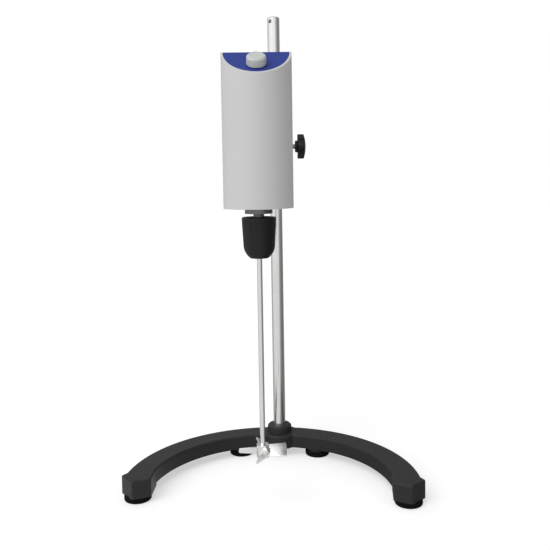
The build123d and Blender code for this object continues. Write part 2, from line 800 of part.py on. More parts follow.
with BuildPart() as bottom_plate_screws:
    with BuildSketch(head_floor.offset(head_bottom)):
        with Locations(*rear_posts, *front_posts):
            Circle(small_screw_head_radius)
    extrude(amount=small_screw_head_height)
    with BuildSketch(head_floor.offset(head_bottom)):
        with Locations(*rear_posts, *front_posts):
            Circle(small_screw_radius)
    extrude(amount=plate_thickness + small_screw_grip - cut_spare)
save(bottom_plate_screws, "bottom_plate_screws")

motor_holes = [(motor_screw_circle, 0), (-motor_screw_circle, 0)]
board_middle = (board_rear - board_front) / 2
board_holes = [
    (side * (board_half_width - spacer_inset - 4), edge)
    for side in (1, -1)
    for edge in (spacer_inset - board_front, board_rear - spacer_inset)
]
with BuildPart() as chassis:
    deck_run = chassis_front + cover_face
    with BuildSketch(head_side):
        with Locations((cover_face - chassis_wall / 2, (plate_top + board_deck + chassis_wall) / 2)):
            Rectangle(chassis_wall, board_deck + chassis_wall - plate_top)
        for deck in (plate_top, gear_deck, board_deck):
            with Locations((cover_face - deck_run / 2, deck + chassis_wall / 2)):
                Rectangle(deck_run, chassis_wall)
    extrude(amount=chassis_half_width, both=True)
    with BuildSketch(head_floor.offset(plate_top)):
        Circle(carrier_radius + seat_gap)
    extrude(amount=chassis_wall, mode=Mode.SUBTRACT)
    with BuildSketch(motor_floor.offset(gear_deck)):
        Circle(motor_pilot_radius + seat_gap)
        with Locations(*motor_holes):
            Circle(small_screw_radius)
    extrude(amount=chassis_wall, mode=Mode.SUBTRACT)
    with BuildSketch(arm_line.offset(cover_face - chassis_wall)):
        with Locations(*flange_holes):
            Circle(flange_screw_radius)
        with Locations((-inlet_x, inlet_z - boss_height)):
            Circle(inlet_nut_flats / 2 + inlet_nut_width)
    extrude(amount=chassis_wall, mode=Mode.SUBTRACT)
save(chassis, "chassis")

# ================================================================== spindle and its bearings
bearing_spots = (lower_bearing, upper_bearing)

with BuildPart() as bearing_carrier:
    with BuildSketch(head_front):
        outline(
            (bearing_radius, flange_bottom),
            (carrier_flange_radius, flange_bottom),
            (carrier_flange_radius, head_bottom),
            (carrier_radius, head_bottom),
            (carrier_radius, carrier_top),
            (bearing_radius, carrier_top),
            (bearing_radius, upper_bearing),
            (bearing_shoulder_radius, upper_bearing),
            (bearing_shoulder_radius, lower_bearing + bearing_width),
            (bearing_radius, lower_bearing + bearing_width),
        )
    revolve(axis=spindle_axis)
save(bearing_carrier, "bearing_carrier")

with BuildPart() as carrier_nut:
    with BuildSketch(head_floor.offset(plate_top + chassis_wall)):
        Circle(ring_nut_radius)
        Circle(carrier_radius, mode=Mode.SUBTRACT)
        with PolarLocations(ring_nut_radius, 4):
            Rectangle(ring_nut_notch, ring_nut_notch, mode=Mode.SUBTRACT)
    extrude(amount=ring_nut_width)
save(carrier_nut, "carrier_nut")

with BuildPart() as spindle_seal:
    with BuildSketch(head_front):
        ring_section(spindle_neck_radius + slide_gap, bearing_radius, seal_bottom, seal_bottom + seal_width)
    revolve(axis=spindle_axis)
save(spindle_seal, "spindle_seal")

race_radius = bearing_radius - bearing_race
shield_radius = bearing_inner_radius + pass_gap
with BuildPart() as bearing_outer_rings:
    with BuildSketch(head_front):
        for low in bearing_spots:
            high = low + bearing_width
            outline(
                (bearing_radius, low),
                (bearing_radius, high),
                (shield_radius, high),
                (shield_radius, high - bearing_shield),
                (race_radius, high - bearing_shield),
                (race_radius, low + bearing_shield),
                (shield_radius, low + bearing_shield),
                (shield_radius, low),
            )
    revolve(axis=spindle_axis)
save(bearing_outer_rings, "bearing_outer_rings")

with BuildPart() as bearing_inner_rings:
    with BuildSketch(head_front):
        for low in bearing_spots:
            ring_section(spindle_radius, bearing_inner_radius, low, low + bearing_width)
    revolve(axis=spindle_axis)
save(bearing_inner_rings, "bearing_inner_rings")

hub_top = chuck_top - hub_recess
with BuildPart() as spindle:
    with BuildSketch(head_front):
        outline(
            (0, hub_top - spindle_nose_length),
            (spindle_nose_radius, hub_top - spindle_nose_length),
            (spindle_nose_radius, hub_top),
            (spindle_neck_radius, hub_top),
            (spindle_neck_radius, lower_bearing),
            (spindle_radius, lower_bearing),
            (spindle_radius, spindle_top),
            (0, spindle_top),
        )
    revolve(axis=spindle_axis)
save(spindle, "spindle")


def involute(angle):
    """The involute function of a pressure angle, in radians."""
    return tan(angle) - angle


def gear_profile(teeth, start_angle):
    """A spur gear's outline with involute flanks and a tooth centred at start_angle."""
    pitch_radius = gear_module * teeth / 2
    base_radius = pitch_radius * cos(radians(pressure_angle))
    tip_radius = pitch_radius + gear_module
    root_radius = pitch_radius - 1.25 * gear_module
    flank_start = max(base_radius, root_radius)
    half_tooth = pi / (2 * teeth) - backlash / (2 * pitch_radius) + involute(radians(pressure_angle))
    flank = []
    for step in range(5):
        radius = flank_start + (tip_radius - flank_start) * step / 4
        angle = half_tooth - involute(acos(base_radius / radius))
        flank.append((radius * cos(angle), radius * sin(angle)))
    foot_angle = half_tooth - involute(acos(base_radius / flank_start))
    inside = root_radius * 0.9
    foot = (inside * cos(foot_angle), inside * sin(foot_angle))
    with BuildSketch() as tooth:
        with BuildLine():
            Spline(*flank)
            Spline(*[(x, -y) for x, y in flank])
            ThreePointArc(flank[-1], (tip_radius, 0), (flank[-1][0], -flank[-1][1]))
            Line(flank[0], foot)
            Line((flank[0][0], -flank[0][1]), (foot[0], -foot[1]))
            Line(foot, (foot[0], -foot[1]))
        make_face()
    with BuildSketch() as profile:
        Circle(root_radius)
        with PolarLocations(0, teeth, start_angle=start_angle):
            add(tooth.sketch)
    return profile.sketch


with BuildPart() as drive_gear:
    with BuildSketch(head_floor.offset(gear_bottom)):
        add(gear_profile(gear_teeth, 90))
        with PolarLocations((gear_radius + gear_hub_radius) / 2, gear_web_holes):
            Circle(gear_web_hole_radius, mode=Mode.SUBTRACT)
    extrude(amount=gear_width)
    with BuildSketch(head_floor.offset(upper_bearing + bearing_width)):
        Circle(bearing_inner_radius)
    extrude(amount=gear_bottom - upper_bearing - bearing_width)
    with BuildSketch(head_floor.offset(upper_bearing)):
        Circle(spindle_radius)
    extrude(amount=spindle_top - upper_bearing, mode=Mode.SUBTRACT)
save(drive_gear, "drive_gear")

with BuildPart() as gear_circlip:
    with BuildSketch(head_floor.offset(gear_bottom + gear_width)):
        Circle(circlip_radius)
        Circle(spindle_radius, mode=Mode.SUBTRACT)
        with Locations((0, -circlip_radius)):
            Rectangle(circlip_gap_width, circlip_radius, mode=Mode.SUBTRACT)
    extrude(amount=circlip_width)
save(gear_circlip, "gear_circlip")

# ================================================================== motor
pinion_bottom = gear_bottom - pinion_overhang
pinion_height = gear_width + 2 * pinion_overhang
with BuildPart() as motor_pinion:
    with BuildSketch(motor_floor.offset(pinion_bottom)):
        add(gear_profile(pinion_teeth, -90 + 180 / pinion_teeth))
        Circle(motor_shaft_radius, mode=Mode.SUBTRACT)
    extrude(amount=pinion_height)
save(motor_pinion, "motor_pinion")

with BuildPart() as motor_can:
    with BuildSketch(motor_front):
        outline(
            (motor_shaft_radius + slide_gap, gear_deck),
            (motor_pilot_radius, gear_deck),
            (motor_pilot_radius, deck_top),
            (motor_radius, deck_top),
            (motor_radius, can_top),
            (motor_radius - motor_wall, can_top),
            (motor_radius - motor_wall, deck_top + motor_wall),
            (motor_shaft_radius + slide_gap, deck_top + motor_wall),
        )
    revolve(axis=motor_axis)
    with BuildSketch(motor_floor.offset(deck_top)):
        with Locations(*motor_holes):
            Circle(small_screw_radius)
    extrude(amount=motor_wall, mode=Mode.SUBTRACT)
save(motor_can, "motor_can")

with BuildPart() as motor_screws:
    with BuildSketch(motor_floor.offset(gear_deck)):
        with Locations(*motor_holes):
            Circle(small_screw_head_radius)
    extrude(amount=-small_screw_head_height)
    with BuildSketch(motor_floor.offset(gear_deck)):
        with Locations(*motor_holes):
            Circle(small_screw_radius)
    extrude(amount=chassis_wall + motor_wall)
save(motor_screws, "motor_screws")

shaft_end = can_top - motor_cap_height / 3
with BuildPart() as motor_end_cap:
    inner_can = motor_radius - motor_wall - seat_gap
    with BuildSketch(motor_front):
        outline(
            (0, can_top + motor_cap_height / 2),
            (motor_radius, can_top + motor_cap_height / 2),
            (motor_radius, can_top),
            (inner_can, can_top),
            (inner_can, can_top - motor_cap_height / 2),
            (motor_shaft_radius + slide_gap, can_top - motor_cap_height / 2),
            (motor_shaft_radius + slide_gap, shaft_end + pass_gap),
            (0, shaft_end + pass_gap),
        )
    revolve(axis=motor_axis)
save(motor_end_cap, "motor_end_cap")

magnet_outer = motor_radius - motor_wall
magnet_inner = magnet_outer - magnet_thickness
magnet_bottom = deck_top + magnet_rise
with BuildPart() as motor_magnets:
    with BuildSketch(motor_floor.offset(magnet_bottom)):
        for middle in (0, 180):
            with BuildLine():
                start = middle - magnet_angle / 2
                outer = CenterArc((0, 0), magnet_outer, start, magnet_angle)
                inner = CenterArc((0, 0), magnet_inner, start, magnet_angle)
                Line(outer @ 0, inner @ 0)
                Line(outer @ 1, inner @ 1)
            make_face()
    extrude(amount=magnet_height)
save(motor_magnets, "motor_magnets")

armature_radius = magnet_inner - air_gap
armature_bottom = magnet_bottom + (magnet_height - armature_height) / 2
slot_depth = armature_radius - armature_core_radius
with BuildPart() as motor_armature:
    with BuildSketch(motor_floor.offset(armature_bottom)):
        Circle(armature_radius)
        with PolarLocations(armature_core_radius + slot_depth / 2, armature_poles):
            Rectangle(slot_depth + 2 * cut_spare, armature_slot_width, mode=Mode.SUBTRACT)
        Circle(motor_shaft_radius, mode=Mode.SUBTRACT)
    extrude(amount=armature_height)
save(motor_armature, "motor_armature")

commutator_bottom = can_top - motor_cap_height / 2 - commutator_height - pass_gap
with BuildPart() as motor_commutator:
    with BuildSketch(motor_floor.offset(commutator_bottom)):
        Circle(commutator_radius)
        Circle(motor_shaft_radius, mode=Mode.SUBTRACT)
    extrude(amount=commutator_height)
save(motor_commutator, "motor_commutator")

with BuildPart() as motor_brushes:
    brush_middle = commutator_radius + pass_gap / 2 + brush_length / 2
    brush_plane = motor_floor.offset(commutator_bottom + commutator_height + pass_gap)
    with BuildSketch(brush_plane):
        with Locations((brush_middle, 0), (-brush_middle, 0)):
            Rectangle(brush_length, brush_width)
    extrude(amount=-commutator_height)
save(motor_brushes, "motor_brushes")

with BuildPart() as motor_shaft:
    with BuildSketch(motor_floor.offset(pinion_bottom)):
        Circle(motor_shaft_radius)
    extrude(amount=shaft_end - pinion_bottom)
save(motor_shaft, "motor_shaft")

# ================================================================== control
board_bottom = board_deck + chassis_wall + spacer_height
with BuildPart() as board_spacers:
    with BuildSketch(head_floor.offset(board_deck + chassis_wall)):
        with Locations(*board_holes):
            Circle(spacer_radius)
    extrude(amount=spacer_height)
save(board_spacers, "board_spacers")

with BuildPart() as control_board:
    with BuildSketch(head_floor.offset(board_bottom)):
        with Locations((0, board_middle)):
            Rectangle(2 * board_half_width, board_front + board_rear)
    extrude(amount=board_thickness)
save(control_board, "control_board")

board_top = board_bottom + board_thickness
capacitor_x = component_inset + capacitor_radius - board_half_width
capacitor_y = board_rear - component_inset - capacitor_radius
small_capacitor_y = capacitor_y - capacitor_radius - component_inset - small_capacitor_radius
transformer_x = board_half_width - component_inset - transformer_width / 2
transformer_y = board_rear - component_inset - transformer_depth / 2
heat_sink_y = transformer_y - transformer_depth / 2 - component_inset - heat_sink_depth / 2
with BuildPart() as board_components:
    with BuildSketch(head_floor.offset(board_top)):
        with Locations((capacitor_x, capacitor_y)):
            Circle(capacitor_radius)
        with Locations((capacitor_x, small_capacitor_y)):
            Circle(small_capacitor_radius)
    extrude(amount=capacitor_height)
    with BuildSketch(head_floor.offset(board_top)):
        with Locations((transformer_x, transformer_y)):
            Rectangle(transformer_width, transformer_depth)
        with Locations((transformer_x, heat_sink_y)):
            Rectangle(heat_sink_width, heat_sink_depth)
    extrude(amount=transformer_height)
save(board_components, "board_components")

with BuildPart() as potentiometer:
    with BuildSketch(panel.offset(-cap_thickness)):
        Circle(pot_radius)
    extrude(amount=-pot_depth)
    with BuildSketch(panel.offset(-cap_thickness)):
        Circle(pot_bush_radius)
    extrude(amount=cap_thickness + pot_bush_height)
    with BuildSketch(panel.offset(-cap_thickness)):
        Circle(pot_shaft_radius + slide_gap)
    extrude(amount=cap_thickness + pot_bush_height, mode=Mode.SUBTRACT)
save(potentiometer, "potentiometer")

with BuildPart() as pot_nut:
    with BuildSketch(panel):
        RegularPolygon(pot_nut_flats / 2, 6, major_radius=False)
        Circle(pot_bush_radius, mode=Mode.SUBTRACT)
    extrude(amount=pot_nut_height)
save(pot_nut, "pot_nut")

with BuildPart() as pot_shaft:
    with BuildSketch(panel.offset(-cap_thickness + slide_gap)):
        Circle(pot_shaft_radius)
    extrude(amount=cap_thickness + pot_shaft_length)
save(pot_shaft, "pot_shaft")

with BuildPart() as speed_knob:
    with BuildSketch(panel.offset(knob_lift)):
        Circle(knob_radius)
    extrude(amount=knob_height)
    fillet(speed_knob.edges().sort_by(Axis(knob_point, panel.z_dir))[-1], knob_edge_radius)
    with BuildSketch(panel.offset(knob_lift)):
        Circle(pot_nut_flats / 2 + nut_room)
    extrude(amount=pot_bush_height - knob_lift + pass_gap, mode=Mode.SUBTRACT)
    with BuildSketch(panel):
        Circle(pot_shaft_radius)
    extrude(amount=pot_shaft_length + slide_gap, mode=Mode.SUBTRACT)
save(speed_knob, "speed_knob")

inlet_plane = Plane((head_x + inlet_x, head_y + head_rear, inlet_z), x_dir=(-1, 0, 0), z_dir=(0, 1, 0))
with BuildPart() as power_inlet:
    with BuildSketch(inlet_plane):
        Circle(inlet_flange_radius)
    extrude(amount=inlet_flange)
    with BuildSketch(inlet_plane):
        Circle(inlet_radius)
    extrude(amount=-inlet_depth)
    with BuildSketch(inlet_plane.offset(inlet_flange)):
        Circle(inlet_socket_radius)
        Circle(inlet_pin_radius, mode=Mode.SUBTRACT)
    extrude(amount=-inlet_depth, mode=Mode.SUBTRACT)
save(power_inlet, "power_inlet")

with BuildPart() as inlet_nut:
    with BuildSketch(inlet_plane.offset(-cover_thickness)):
        RegularPolygon(inlet_nut_flats / 2, 6, major_radius=False)
        Circle(inlet_radius, mode=Mode.SUBTRACT)
    extrude(amount=-inlet_nut_width)
save(inlet_nut, "inlet_nut")

# ================================================================== chuck
tilt = radians(jaw_tilt)
grip_radius = shaft_radius + slide_gap
jaw_tip_z = chuck_bottom + jaw_tip_rise
jaw_tip_r = grip_radius + jaw_tip_offset
nut_top = nut_bottom + nut_height


def jaw_back(z, gap):
    """Radius just outside the jaws' backs at a height."""
    return jaw_tip_r + (z - jaw_tip_z) * tan(tilt) + jaw_radius / cos(tilt) + gap


def jaw_plane(index, along=0.0):
    """The plane square to a jaw's axis, a distance up it from the tip."""
    around = radians(90 + index * 360 / jaw_count)
    direction = Vector(cos(around) * sin(tilt), sin(around) * sin(tilt), cos(tilt))
    tip = Vector(head_x + jaw_tip_r * cos(around), head_y + jaw_tip_r * sin(around), jaw_tip_z)
    return Plane(tip + direction * along, z_dir=direction)


with BuildPart() as chuck_body:
    core_floor = chuck_bottom + pass_gap
    with BuildSketch(head_front):
        outline(
            (shaft_radius + pass_gap, core_floor),
            (nose_radius - small_chamfer, core_floor),
            (nose_radius, core_floor + small_chamfer),
            (nose_radius, core_floor + nose_height),
            (core_radius, core_floor + nose_height + nose_cone),
            (core_radius, nut_bottom - seat_gap),
            (nut_groove_radius, nut_bottom - seat_gap),
            (nut_groove_radius, nut_top + seat_gap),
            (core_radius, nut_top + seat_gap),
            (core_radius, core_top),
            (hub_radius, core_top),
            (hub_radius, hub_top),
            (spindle_nose_radius, hub_top),
            (spindle_nose_radius, hub_top - spindle_nose_length - cut_spare),
            (shaft_radius + pass_gap, hub_top - spindle_nose_length - cut_spare - drill_point),
        )
    revolve(axis=spindle_axis)
    for index in range(jaw_count):
        with BuildSketch(jaw_plane(index, -jaw_blank)):
            Circle(jaw_radius + slide_gap)
        extrude(amount=jaw_blank + jaw_length + jaw_travel + cut_spare, mode=Mode.SUBTRACT)
save(chuck_body, "chuck_body")

for index in range(jaw_count):
    around = radians(90 + index * 360 / jaw_count)
    outward = (cos(around), sin(around), 0)
    grip_face = Plane(
        (head_x + grip_radius * cos(around), head_y + grip_radius * sin(around), 0), z_dir=outward
    )
    with BuildPart() as chuck_jaw:
        with BuildSketch(jaw_plane(index, -jaw_blank)):
            Circle(jaw_radius)
        extrude(amount=jaw_blank + jaw_length)
        split(bisect_by=grip_face, keep=Keep.TOP)
        split(bisect_by=Plane.XY.offset(chuck_bottom + 2 * pass_gap), keep=Keep.TOP)
    save(chuck_jaw, f"chuck_jaw_{index + 1}")

waist_z = chuck_bottom + sleeve_waist_rise
with BuildPart() as chuck_sleeve:
    with BuildSketch(head_front):
        with BuildLine():
            Polyline(
                (sleeve_mouth_radius, chuck_bottom + sleeve_wall),
                (sleeve_mouth_radius, chuck_bottom),
            )
            Spline(
                (sleeve_mouth_radius, chuck_bottom),
                (sleeve_waist_radius, waist_z),
                tangents=((1, 0.15), (0.05, 1)),
            )
            Polyline(
                (sleeve_waist_radius, waist_z),
                (sleeve_top_radius, chuck_top - sleeve_edge_radius),
                (sleeve_top_radius - sleeve_edge_radius, chuck_top),
                (hub_radius + pass_gap, chuck_top),
                (hub_radius + pass_gap, chuck_top - sleeve_wall),
                (sleeve_top_radius - sleeve_wall, chuck_top - sleeve_wall),
                (sleeve_waist_radius - sleeve_wall, waist_z + 1),
            )
            Spline(
                (sleeve_waist_radius - sleeve_wall, waist_z + 1),
                (sleeve_mouth_radius, chuck_bottom + sleeve_wall),
                tangents=((-0.05, -1), (-1, -0.15)),
            )
        make_face()
    revolve(axis=spindle_axis)
save(chuck_sleeve, "chuck_sleeve")

sleeve_slope = (sleeve_top_radius - sleeve_waist_radius) / (chuck_top - sleeve_edge_radius - waist_z)
nut_radius = sleeve_waist_radius - sleeve_wall + (nut_bottom - waist_z - 1) * sleeve_slope - seat_gap
with BuildPart() as chuck_nut:
    with BuildSketch(head_front):
        outline(
            (jaw_back(nut_bottom, slide_gap), nut_bottom),
            (nut_radius, nut_bottom),
            (nut_radius, nut_top),
            (jaw_back(nut_top, slide_gap), nut_top),
        )
    revolve(axis=spindle_axis)
save(chuck_nut, "chuck_nut")

# ================================================================== stirrer
impeller_top = impeller_bottom + impeller_hub_height
blade_middle = impeller_bottom + impeller_hub_height / 2
with BuildPart() as stir_shaft:
    with BuildSketch(head_floor.offset(impeller_bottom + shaft_bottom_gap)):
        Circle(shaft_radius)
    extrude(amount=shaft_top - impeller_bottom - shaft_bottom_gap)
save(stir_shaft, "stir_shaft")


def blade_plane(radius, pitch):
    """A plane across a blade at a radius, its x axis along the blade's pitched width."""
    angle = radians(pitch)
    return Plane(
        (head_x + radius, head_y, blade_middle),
        x_dir=(0, cos(angle), sin(angle)),
        z_dir=(1, 0, 0),
    )


with BuildPart() as propeller:
    with BuildSketch(blade_plane(impeller_hub_radius - blade_root_sink, blade_pitch_root)):
        Rectangle(blade_root_width, blade_thickness)
    with BuildSketch(blade_plane(impeller_radius + cut_spare, blade_pitch_tip)):
        Rectangle(blade_tip_width, blade_thickness)
    loft()
    one_blade = propeller.part
    for index in range(1, blade_count):
        add(one_blade.rotate(spindle_axis, index * 360 / blade_count))
    with BuildSketch(head_floor.offset(impeller_bottom - blade_tip_width)):
        Circle(impeller_radius)
    extrude(amount=impeller_hub_height + 2 * blade_tip_width, mode=Mode.INTERSECT)
    with BuildSketch(head_floor.offset(impeller_bottom)):
        Circle(impeller_hub_radius)
    extrude(amount=impeller_hub_height)
    with BuildSketch(head_floor.offset(impeller_bottom)):
        Circle(shaft_radius)
    extrude(amount=impeller_hub_height, mode=Mode.SUBTRACT)
save(propeller, "propeller")
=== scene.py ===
"""Finishes, fine detail, stage and camera of the overhead stirrer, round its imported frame."""

import json
import math

import bmesh
import bpy
from mathutils import Matrix, Vector


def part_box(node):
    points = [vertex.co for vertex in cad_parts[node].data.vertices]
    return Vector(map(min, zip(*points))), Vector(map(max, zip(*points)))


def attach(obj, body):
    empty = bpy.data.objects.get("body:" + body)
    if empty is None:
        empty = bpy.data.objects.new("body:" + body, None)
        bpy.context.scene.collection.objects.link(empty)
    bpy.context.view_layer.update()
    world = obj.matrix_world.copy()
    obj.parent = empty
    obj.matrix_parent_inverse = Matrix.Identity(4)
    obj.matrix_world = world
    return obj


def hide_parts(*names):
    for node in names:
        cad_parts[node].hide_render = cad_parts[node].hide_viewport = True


bl_info = {
    "name": "Overhead stirrer",
    "version": (1, 0, 0),
    "blender": (4, 5, 0),
    "location": "View3D > Sidebar > Stirrer",
    "description": "Dresses the stirrer's frame with finishes and fine detail, and sets its stage",
    "category": "Object",
}

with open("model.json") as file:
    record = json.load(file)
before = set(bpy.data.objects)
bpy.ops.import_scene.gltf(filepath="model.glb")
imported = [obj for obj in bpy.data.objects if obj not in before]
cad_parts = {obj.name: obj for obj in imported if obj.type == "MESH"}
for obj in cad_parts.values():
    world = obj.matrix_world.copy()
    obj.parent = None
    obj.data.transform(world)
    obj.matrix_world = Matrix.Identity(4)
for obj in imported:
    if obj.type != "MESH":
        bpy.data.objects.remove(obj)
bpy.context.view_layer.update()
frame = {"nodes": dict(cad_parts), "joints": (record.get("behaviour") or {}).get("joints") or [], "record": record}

# Meshes: all lengths are in metres
SHARP_ANGLE = math.radians(32.0)
FLAT_ANGLE = math.radians(0.6)
MERGE_DISTANCE = 0.000002
SIDE_SLOPE = 0.2
METAL_EDGES = ("bearing_carrier", "arm_flange", "support_arm", "propeller", "power_inlet", "chuck_body")

# Stretch of a pattern along x, y and z: even, round the z axis, or along it
ALL_WAYS = (1.0, 1.0, 1.0)
ROUND_Z = (0.02, 0.02, 1.0)
ALONG_Z = (1.0, 1.0, 0.02)

# Patterns: repeats per metre, and the level past which a pattern shows
SHEETS_PER_METRE = 2000.0
WIRE_WAVES = 7400.0
TRACKS_ALONG_X = 260.0
TRACKS_ALONG_Z = 240.0
SEAM_CUT = 0.38
TRACK_CUT = 0.12
SPECK_CUT = 0.69
SCRATCH_CUT = 0.74

# Nodes that take steel darkened as painted shade, for the spindle under the head and the clamp screws, in place of
# their slot's own
SHADED_STEEL_NODES = ("spindle", "rod_clamp_screw", "arm_clamp_screw")

# Speed knob: margins and tapers are shares of its radius
KNOB_SEGMENTS = 72
KNOB_TAPER = 0.97
KNOB_FLUTE_PITCH = 3
FACE_STEPS = 8
FOOT_STEPS = 3
FOOT_ROUNDING = 0.35
DISH_MARGIN = 0.12
DISH_DEPTH = 0.0003
RECESS_RADIUS = 0.0070
RECESS_DEPTH = 0.0027
BORE_RADIUS = 0.00305
BORE_DEPTH = 0.00525

# Screws: which way each group's heads face
SCREW_HEADS = {
    "rear_cover_screws": (0.0, 1.0, 0.0),
    "arm_flange_screws": (0.0, 1.0, 0.0),
    "top_cap_screws": (0.0, 0.0, 1.0),
    "bottom_plate_screws": (0.0, 0.0, -1.0),
    "feet_screws": (0.0, 0.0, -1.0),
}
HEAD_FACING = 0.99
HEAD_ROUNDING = 0.0004
HEAD_STEPS = 3
HEAD_SPREAD = HEAD_ROUNDING / 4
SOCKET_DRAFT = HEAD_ROUNDING / 8
HEXAGON_STEP = math.radians(60.0)

# Chuck sleeve: a bowl at the mouth, a tapered wall, and a plain band under the rim
SLEEVE_SEGMENTS = 96
SLEEVE_FLUTE_PITCH = 2
SLEEVE_WAIST = 0.92
SLEEVE_MOUTH = 0.0100
SLEEVE_BOWL = 0.0135
SLEEVE_INNER_WAIST = 0.0135
SLEEVE_WALL = 0.0024
SLEEVE_BAND = 0.005
BAND_TAPER = 0.06
SLEEVE_RIM = 0.0012
RIM_CORNER = 0.3
HUB_OPENING = 0.0093
BOWL_STEPS = 10
BOWL_FLARE = 1.35
BOWL_RISE = 0.8

# Stage: the studio's grey levels from left (0) to right (1), the floor, the lamp and the lens
SCREEN = ((0.0, 0.50), (0.07, 0.62), (0.14, 1.0), (0.60, 1.0), (0.71, 0.42), (0.86, 0.20), (1.0, 0.34))
WHITE = (1.0, 1.0, 1.0, 1.0)
FLOOR_REACH = 6.0
FLOOR_DROP = 0.0002
FLOOR_GLOW = 0.5
FLOOR_SHEEN = 0.8
KEY_SPREAD = math.radians(50.0)
KEY_WAY = (0.62, 0.80, -0.95)
IMAGE_WIDTH = 550
SENSOR_WIDTH = 36.0
NEAREST = 0.01


# ---------------------------------------------------------------- node graphs


class Value:
    """One output socket of a node graph. Each operator on it adds a Math node."""

    def __init__(self, graph, socket):
        self.graph = graph
        self.socket = socket

    def _math(self, operation, first, second=None):
        sockets = {0: first} if second is None else {0: first, 1: second}
        return self.graph.node("ShaderNodeMath", {"operation": operation}, sockets)

    def __add__(self, other):
        return self._math("ADD", self, other)

    __radd__ = __add__

    def __sub__(self, other):
        return self._math("SUBTRACT", self, other)

    def __rsub__(self, other):
        return self._math("SUBTRACT", other, self)

    def __mul__(self, other):
        return self._math("MULTIPLY", self, other)

    def __truediv__(self, other):
        return self._math("DIVIDE", self, other)

    def __pow__(self, other):
        return self._math("POWER", self, other)

    def __gt__(self, other):
        return self._math("GREATER_THAN", self, other)

    def __lt__(self, other):
        return self._math("LESS_THAN", self, other)

    def __abs__(self):
        return self._math("ABSOLUTE", self)

    def sine(self):
        return self._math("SINE", self)

    def fraction(self):
        return self._math("FRACT", self)

    def most(self, other):
        return self._math("MAXIMUM", self, other)


class Graph:
    """A node tree, to which one method adds every node."""

    def __init__(self, tree):
        self.tree = tree

    def node(self, kind, settings=None, sockets=None, output=0):
        """Adds a node, its settings first and then its sockets, and returns one of its outputs."""
        made = self.tree.nodes.new(kind)
        for name, value in (settings or {}).items():
            if name == "stops":
                ramp = made.color_ramp.elements
                while len(ramp) < len(value):
                    ramp.new(1.0)
                for element, (place, colour) in zip(ramp, value):
                    element.position = place
                    element.color = (*colour, 1.0)
            else:
                setattr(made, name, value)
        for name, value in (sockets or {}).items():
            if isinstance(value, Value):
                self.tree.links.new(value.socket, made.inputs[name])
            else:
                made.inputs[name].default_value = value
        return Value(self, made.outputs[output])

    def parts(self, vector):
        """The x, y and z of a vector."""
        split = self.node("ShaderNodeSeparateXYZ", sockets={0: vector}).socket.node
        return [Value(self, output) for output in split.outputs]

    def ramp(self, value, *stops):
        """A smooth ramp of grey levels through (place, level) stops."""
        colours = [(place, (level, level, level)) for place, level in stops]
        return self.node("ShaderNodeValToRGB", {"stops": colours}, {0: value})

    def mix(self, first, second, share):
        """A colour between two colours."""
        colours = [c if isinstance(c, Value) else (*c[:3], 1.0) for c in (first, second)]
        sockets = {0: share, 6: colours[0], 7: colours[1]}
        return self.node("ShaderNodeMix", {"data_type": "RGBA"}, sockets, output=2)


class Finish(Graph):
    """A material with one Principled shader, whose patterns follow Object coordinates in metres."""

    def __init__(self, name):
        self.material = bpy.data.materials.new(name)
        self.material.use_nodes = True
        super().__init__(self.material.node_tree)
        self.shader = self.tree.nodes["Principled BSDF"]
        self.place = self.node("ShaderNodeTexCoord", output=3)

    def set(self, sockets):
        """Sets or links sockets of the Principled shader."""
        for name, value in sockets.items():
            if isinstance(value, Value):
                self.tree.links.new(value.socket, self.shader.inputs[name])
            else:
                is_colour = hasattr(self.shader.inputs[name].default_value, "__len__")
                self.shader.inputs[name].default_value = (*value[:3], 1.0) if is_colour else value
        return self

    def stretched(self, ways):
        """Object coordinates scaled along each axis."""
        return self.node("ShaderNodeMapping", {"vector_type": "POINT"}, {0: self.place, 3: ways})

    def noise(self, size, ways=ALL_WAYS, detail=2.0):
        """Soft noise from 0 to 1, whose spots are size metres wide before the stretch of ways."""
        at = self.place if ways == ALL_WAYS else self.stretched(ways)
        sockets = {"Vector": at, "Scale": 1.0 / size, "Detail": detail}
        return self.node("ShaderNodeTexNoise", sockets=sockets)

    def cells(self, size):
        """Distance to the centre of the nearest cell, as a share of a cell size metres wide."""
        return self.node("ShaderNodeTexVoronoi", sockets={"Vector": self.place, "Scale": 1.0 / size})

    def bump(self, height, depth, strength=1.0):
        """Lets a height from 0 to 1, depth metres deep, tilt the surface."""
        sockets = {"Strength": strength, "Distance": depth, "Height": height}
        return self.set({"Normal": self.node("ShaderNodeBump", sockets=sockets)})


def shade(colour, share):
    """A colour darkened or lightened by a share."""
    return tuple(min(1.0, channel * share) for channel in colour[:3])


def studio(graph, way):
    """What shiny metal sees of the studio along a way: white, with a dark screen on the right."""
    x, y, z = graph.parts(way)
    flat = (x * x + y * y) ** 0.5
    half_turn = ((y / flat + 1) / 2) ** 0.5
    across = 0.5 + half_turn * ((x > 0) - 0.5)
    return graph.ramp(across, *SCREEN)


def rays(graph):
    """The camera, glossy and transmission shares of a ray."""
    path = graph.node("ShaderNodeLightPath").socket.node
    return [Value(graph, path.outputs[f"Is {kind} Ray"]) for kind in ("Camera", "Glossy", "Transmission")]


# ---------------------------------------------------------------- finishes


def moulded(finish, colour, gloss, grain=0.0009, depth=0.00004, clouding=0.05, shine=0.5):
    """Moulded plastic: a fine even grain, and faint clouds in its tone and gloss."""
    cloud = finish.noise(0.045, detail=3.0)
    grains = finish.noise(grain, detail=1.0)
    tone = finish.mix(shade(colour, 1 - clouding), shade(colour, 1 + clouding), cloud)
    finish.set({"Base Color": tone, "Roughness": gloss - 0.06 + cloud * 0.09 + grains * 0.05})
    finish.set({"Specular IOR Level": shine})
    return finish.bump(grains, depth)


